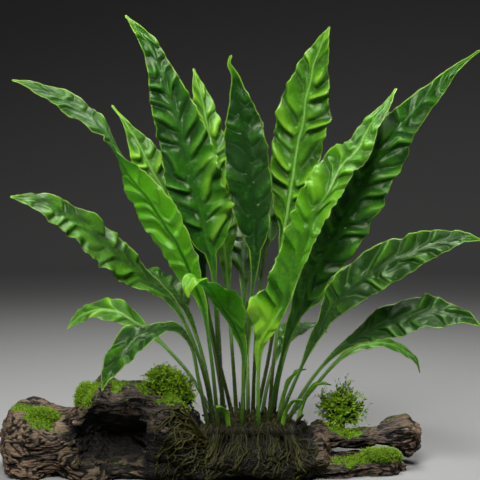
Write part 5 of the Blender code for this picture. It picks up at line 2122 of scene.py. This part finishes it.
@dataclass(frozen=True)
class RootMat:
    """A mat of fine roots that fans out from the crown down one side of the log."""

    top: tuple[float, float]  # the left and right of its start
    foot: tuple[float, float]  # the left and right of its foot
    turns: tuple[float, float]  # the turns about the log where it starts and ends, in degrees
    strand_y: float  # the y of the strand that they grow from
    count: int  # how many roots it has
    bundles: int  # how many bundles they run in
    seed: int  # its own number
    strays: int = 0  # how many of its roots wander off to the left

    STEPS = 54
    ARC_STEPS = 9
    STRAND = (STRAND_HEIGHT, 3.9)  # the height and radius of the strand that they leave
    COARSE = 0.24  # the share of coarse roots
    RADII = (0.15, 0.90)  # the radius of the finest and of the coarsest root

    def spread(self, rng: np.random.Generator, share: Array) -> tuple[Array, Array]:
        """Lets the roots run down the log in loose bundles.

        Args:
            rng: Where the random values come from.
            share: Shares of each root's length.

        Returns:
            The places along x and the turns about the log, root by root.
        """
        one = (self.count, 1)
        knots = rng.random(self.bundles)
        bundle = rng.integers(0, self.bundles, self.count)
        start = (knots[bundle][:, None] + rng.normal(0.0, 0.022, one)).clip(0.0, 1.0)
        aim = (knots + rng.normal(0.0, 0.10, self.bundles))[bundle][:, None]
        stop = (aim + rng.normal(0.0, 0.05, one)).clip(0.0, 1.0)
        outward = (start - 0.5) * (1.0 - np.abs(start - 0.5)) * 26.0
        x = blend(blend(*self.top, start), blend(*self.foot, stop), share**0.8)
        x = x + outward * share * (1.0 - share)
        low, high = self.turns
        last = high - (high - low) * rng.random(one) ** 3 * 0.7
        turn = np.radians(blend(low, last, share))
        if self.strays:
            strays = slice(0, self.strays)
            x[strays] = blend(self.top[0] + 8.0 * start, -34.0 - 13.0 * stop, share)[strays]
            turn[strays] = np.radians(blend(102.0, 112.0 + 44.0 * rng.random(one), share))[strays]
        kin = bundle[:, None] * 5.3
        loose = np.sqrt(share)
        x = x + 8.0 * noise_at(70, share * 3.0, kin, 1.5) * loose
        x = x + 2.6 * noise_at(71, share * 6.0, self.keys, 0.0) * loose
        x = x + 1.1 * noise_at(72, share * 15.0, self.keys, 5.0) * loose
        return x, turn + 0.07 * noise_at(73, share * 9.0, self.keys, 9.0) * loose

    @property
    def keys(self) -> Array:
        """A number of its own for each root, which picks its noise."""
        return np.arange(self.count)[:, None] * 3.7

    def paths(self) -> tuple[Array, Array, Array, Array]:
        """Lays the roots on the log.

        Returns:
            Their lines, with the radius, the reach, which carries painted shade and highlights, and the tone
            at each point.
        """
        rng = np.random.default_rng(self.seed)
        share = np.linspace(0.0, 1.0, self.STEPS)[None, :]
        one = (self.count, 1)
        x, turn = self.spread(rng, share)
        is_coarse = rng.random(one) < self.COARSE
        coarse = np.where(is_coarse, rng.uniform(0.6, 1.0, one), rng.uniform(0.0, 0.2, one))
        thick = blend(*self.RADII, coarse) * (1.05 - 0.6 * share**1.5)
        thick = thick * (1.0 + 0.18 * noise_at(75, share * 30.0, self.keys, 0.0))
        lift = rng.uniform(0.0, 1.8, one) * (1.0 - 0.4 * share)
        lift = np.maximum(lift + 0.8 * noise_at(74, share * 6.0, self.keys, 3.0), 0.0) + thick
        places = LIMBS["log"].surface(np.clip(x, -49.5, 50.0), turn, lift)
        places[..., 2] = np.maximum(places[..., 2], thick)
        places = self.leave_strand(places, rng)
        tone = rng.random(one) + 0.0 * share
        # The reach is painted light: darker where a root lies low against the wood and near the crown, where
        # it is in shade, with painted highlights along raised and coarse roots.
        shine = 0.5 + 0.5 * noise_at(76, share * 5.0, self.keys, 2.0)
        reach = 0.05 + 0.45 * ease(0.2, 2.0, lift) * shine + 0.5 * coarse
        return places, thick, reach * (0.5 + 0.5 * ease(0.05, 0.4, share)), tone

    def leave_strand(self, places: Array, rng: np.random.Generator) -> Array:
        """Bends the first part of each root up and over the strand that it grows from.

        Args:
            places: The roots' lines.
            rng: Where the random values come from.

        Returns:
            The bent lines.
        """
        height, radius = self.STRAND
        side = -1.0 if self.turns[1] > 90.0 else 1.0
        arc = np.linspace(0.0, 1.0, self.ARC_STEPS)[None, :]
        one = (len(places), 1)
        first = np.where(rng.random(one) < 0.7, 2.0, 0.4) + rng.normal(0.0, 0.3, one)
        angle = blend(first, -0.9 + 0.0 * first, arc)
        away = radius + rng.uniform(-0.6, 0.5, one)
        y = self.strand_y + side * away * np.cos(angle)
        z = height + away * np.sin(angle)
        leaving = places[:, self.ARC_STEPS : self.ARC_STEPS + 1, 0]
        x = leaving + (1.0 - arc) * (rng.normal(0.0, 3.0, one) - 0.12 * leaving)
        places = places.copy()
        places[:, : self.ARC_STEPS] = stack(x, y, z)
        smoothed = self.ARC_STEPS + 5
        for _ in range(3):
            middle = (places[:, :-2] + places[:, 1:-1] + places[:, 2:]) / 3.0
            places[:, 1 : smoothed + 1] = middle[:, :smoothed]
        return places

    def build(self, name: str, finish: Material) -> Thing:
        """Makes the mat as lines that a node tree thickens.

        Args:
            name: The object's name.
            finish: Its material.

        Returns:
            The finished roots.
        """
        places, thick, reach, tone = self.paths()
        index = np.arange(self.count * self.STEPS).reshape(self.count, self.STEPS)
        edges = stack(index[:, :-1], index[:, 1:]).reshape(-1, 2)
        mesh = bpy.data.meshes.new("root_lines")
        mesh.from_pydata((places.reshape(-1, 3) * MM).tolist(), edges.tolist(), [])
        set_marks(mesh, {"thick": (thick * MM).ravel(), "reach": reach.ravel(), "tone": tone.ravel()})
        return self.growth().run(name, new_object("root_lines", mesh), Sides=5, Finish=finish)

    @staticmethod
    def growth() -> Growth:
        """Builds the node tree that turns lines with a mark thick into closed tubes.

        Returns:
            The tree.
        """
        growth = Growth("thickening", Sides="NodeSocketInt", Finish="NodeSocketMaterial")
        tree, take = growth.tree, growth.take
        curves = flow(tree, "GeometryNodeMeshToCurve", "Curve", Mesh=take["Ground"])
        circle = flow(tree, "GeometryNodeCurvePrimitiveCircle", "Curve", Resolution=take["Sides"], Radius=1.0)
        tubes = flow(
            tree, "GeometryNodeCurveToMesh", "Mesh", Curve=curves, Profile_Curve=circle,
            Scale=growth.measure("thick"), Fill_Caps=True,
        )
        growth.end(flow(tree, "GeometryNodeSetShadeSmooth", "Geometry", Geometry=tubes))
        return growth


@dataclass(frozen=True)
class Roots:
    """The mats of roots on both sides of the log."""

    mats: dict[str, RootMat]
    # Dark brown and olive roots, made darker still as painted shade of the fronds above.
    finish: FuzzFinish = FuzzFinish(
        name="root_olive", roughness=0.55,
        foot=(0.0025, 0.002, 0.001), tip=(0.036, 0.034, 0.003), other=(0.006, 0.006, 0.001),
    )

    def build(self) -> None:
        """Makes, dresses and places both mats."""
        material = self.finish.build()
        for name, mat in self.mats.items():
            set_in_place(mat.build(f"roots_{name}", material), f"root_mat_{name}", "roots")


ROOT_MATS: dict[str, RootMat] = {
    "front": RootMat((-21.0, 34.0), (-50.0, 47.0), (100.0, 216.0), -14.0, 330, 30, 81, 34),
    "back": RootMat((-19.0, 24.0), (-37.0, 39.0), (70.0, -36.0), 21.0, 240, 22, 82),
}


# Studio


@dataclass(frozen=True)
class Softbox:
    """A square soft light: its place, its side, its power and how many degrees it opens."""

    name: str
    place: Place
    side: float
    power: float
    opening: float = 180.0

    def build(self, target: Vector) -> None:
        """Sets up the light so that it shines at the target.

        Args:
            target: The place.
        """
        data = bpy.data.lights.new(self.name, "AREA")
        data.size = self.side
        data.energy = self.power
        data.spread = math.radians(self.opening)
        lamp = new_object(self.name, data)
        lamp.location = self.place
        lamp.rotation_euler = (target - lamp.location).to_track_quat("-Z", "Y").to_euler()


@dataclass(frozen=True)
class Studio:
    """A pale floor that rises to a wall all round, soft lights and the camera."""

    floor_radius: float = 1.3
    wall_height: float = 1.6
    curve: float = 0.7
    floor_colour: Colour = (0.155, 0.155, 0.152)
    lens: float = 100.0
    lights: tuple[Softbox, ...] = (
        Softbox("key_light", (-0.15, -0.73, 0.93), 0.5, 6.6, 80.0),
        Softbox("back_light", (0.10, 0.34, 1.12), 0.48, 5.4, 90.0),
        Softbox("left_light", (-1.0, -0.5, 0.6), 0.6, 2.0),
    )

    def floor(self) -> Thing:
        """The floor with its wall, as one turned form.

        Returns:
            The floor, without its material.
        """
        angle = np.linspace(0.0, math.pi / 2.0, 17)
        radii = np.concatenate([[0.001, 0.3, 0.7], self.floor_radius + self.curve * np.sin(angle)])
        heights = np.concatenate([[0.0, 0.0, 0.0], self.curve * (1.0 - np.cos(angle))])
        radii = np.append(radii, radii[-1])
        heights = np.append(heights, self.wall_height)
        turn = turns(64)
        across, along = radii[:, None] * np.cos(turn), radii[:, None] * np.sin(turn)
        points = stack(across, along, heights[:, None]).reshape(-1, 3)
        quads, middle, _ = tube_faces(len(radii), len(turn))
        mesh = bpy.data.meshes.new("studio_floor")
        mesh.from_pydata(points.tolist(), [], [*quads[:, ::-1].tolist(), *middle[:, ::-1].tolist()])
        mesh.shade_smooth()
        return new_object("studio_floor", mesh)

    def floor_finish(self) -> Material:
        """A plain pale matt surface."""
        material, _, shader = new_material("studio_floor_matt")
        feed(shader, Base_Color=self.floor_colour, Roughness=0.9, Specular_IOR_Level=0.2)
        return material

    def build(self) -> None:
        """Sets up the floor, the lights, the sky and the camera."""
        floor = self.floor()
        floor.data.materials.append(self.floor_finish())
        floor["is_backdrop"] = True
        target = Vector((0.0, 0.0, VIEW_HEIGHT * MM))
        for light in self.lights:
            light.build(target)
        world = bpy.data.worlds.new("studio_light")
        world.use_nodes = True
        feed(world.node_tree.nodes["Background"], Color=(0.95, 0.98, 1.0), Strength=0.08)
        bpy.context.scene.world = world
        scene = bpy.context.scene
        scene.view_settings.view_transform = "Standard"
        data = bpy.data.cameras.new("camera")
        data.lens = self.lens
        camera = new_object("camera", data)
        distance = VIEW_DISTANCE * MM
        reach, rise = distance * math.cos(VIEW_PITCH), distance * math.sin(VIEW_PITCH)
        camera.location = target + Vector((0.0, -reach, rise))
        camera.rotation_euler = (math.pi / 2.0 - VIEW_PITCH, 0.0, 0.0)
        scene.camera = camera


def main() -> None:
    """Builds the wood, what grows on it and the studio."""
    logging.basicConfig(level=logging.INFO, format="%(message)s")
    Driftwood(LIMBS).build()
    Rhizome(STRANDS).build()
    Roots(ROOT_MATS).build()
    Moss(CUSHIONS).build()
    FrondClump(SHOWN_FRONDS | REAR_FRONDS | YOUNG_FRONDS).build()
    Studio().build()
    boxes = {"cad": CAD_BOX, "visual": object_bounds()}
    {name: [list(corner) for corner in box] for name, box in boxes.items()}


if __name__ == "__main__":
    main()
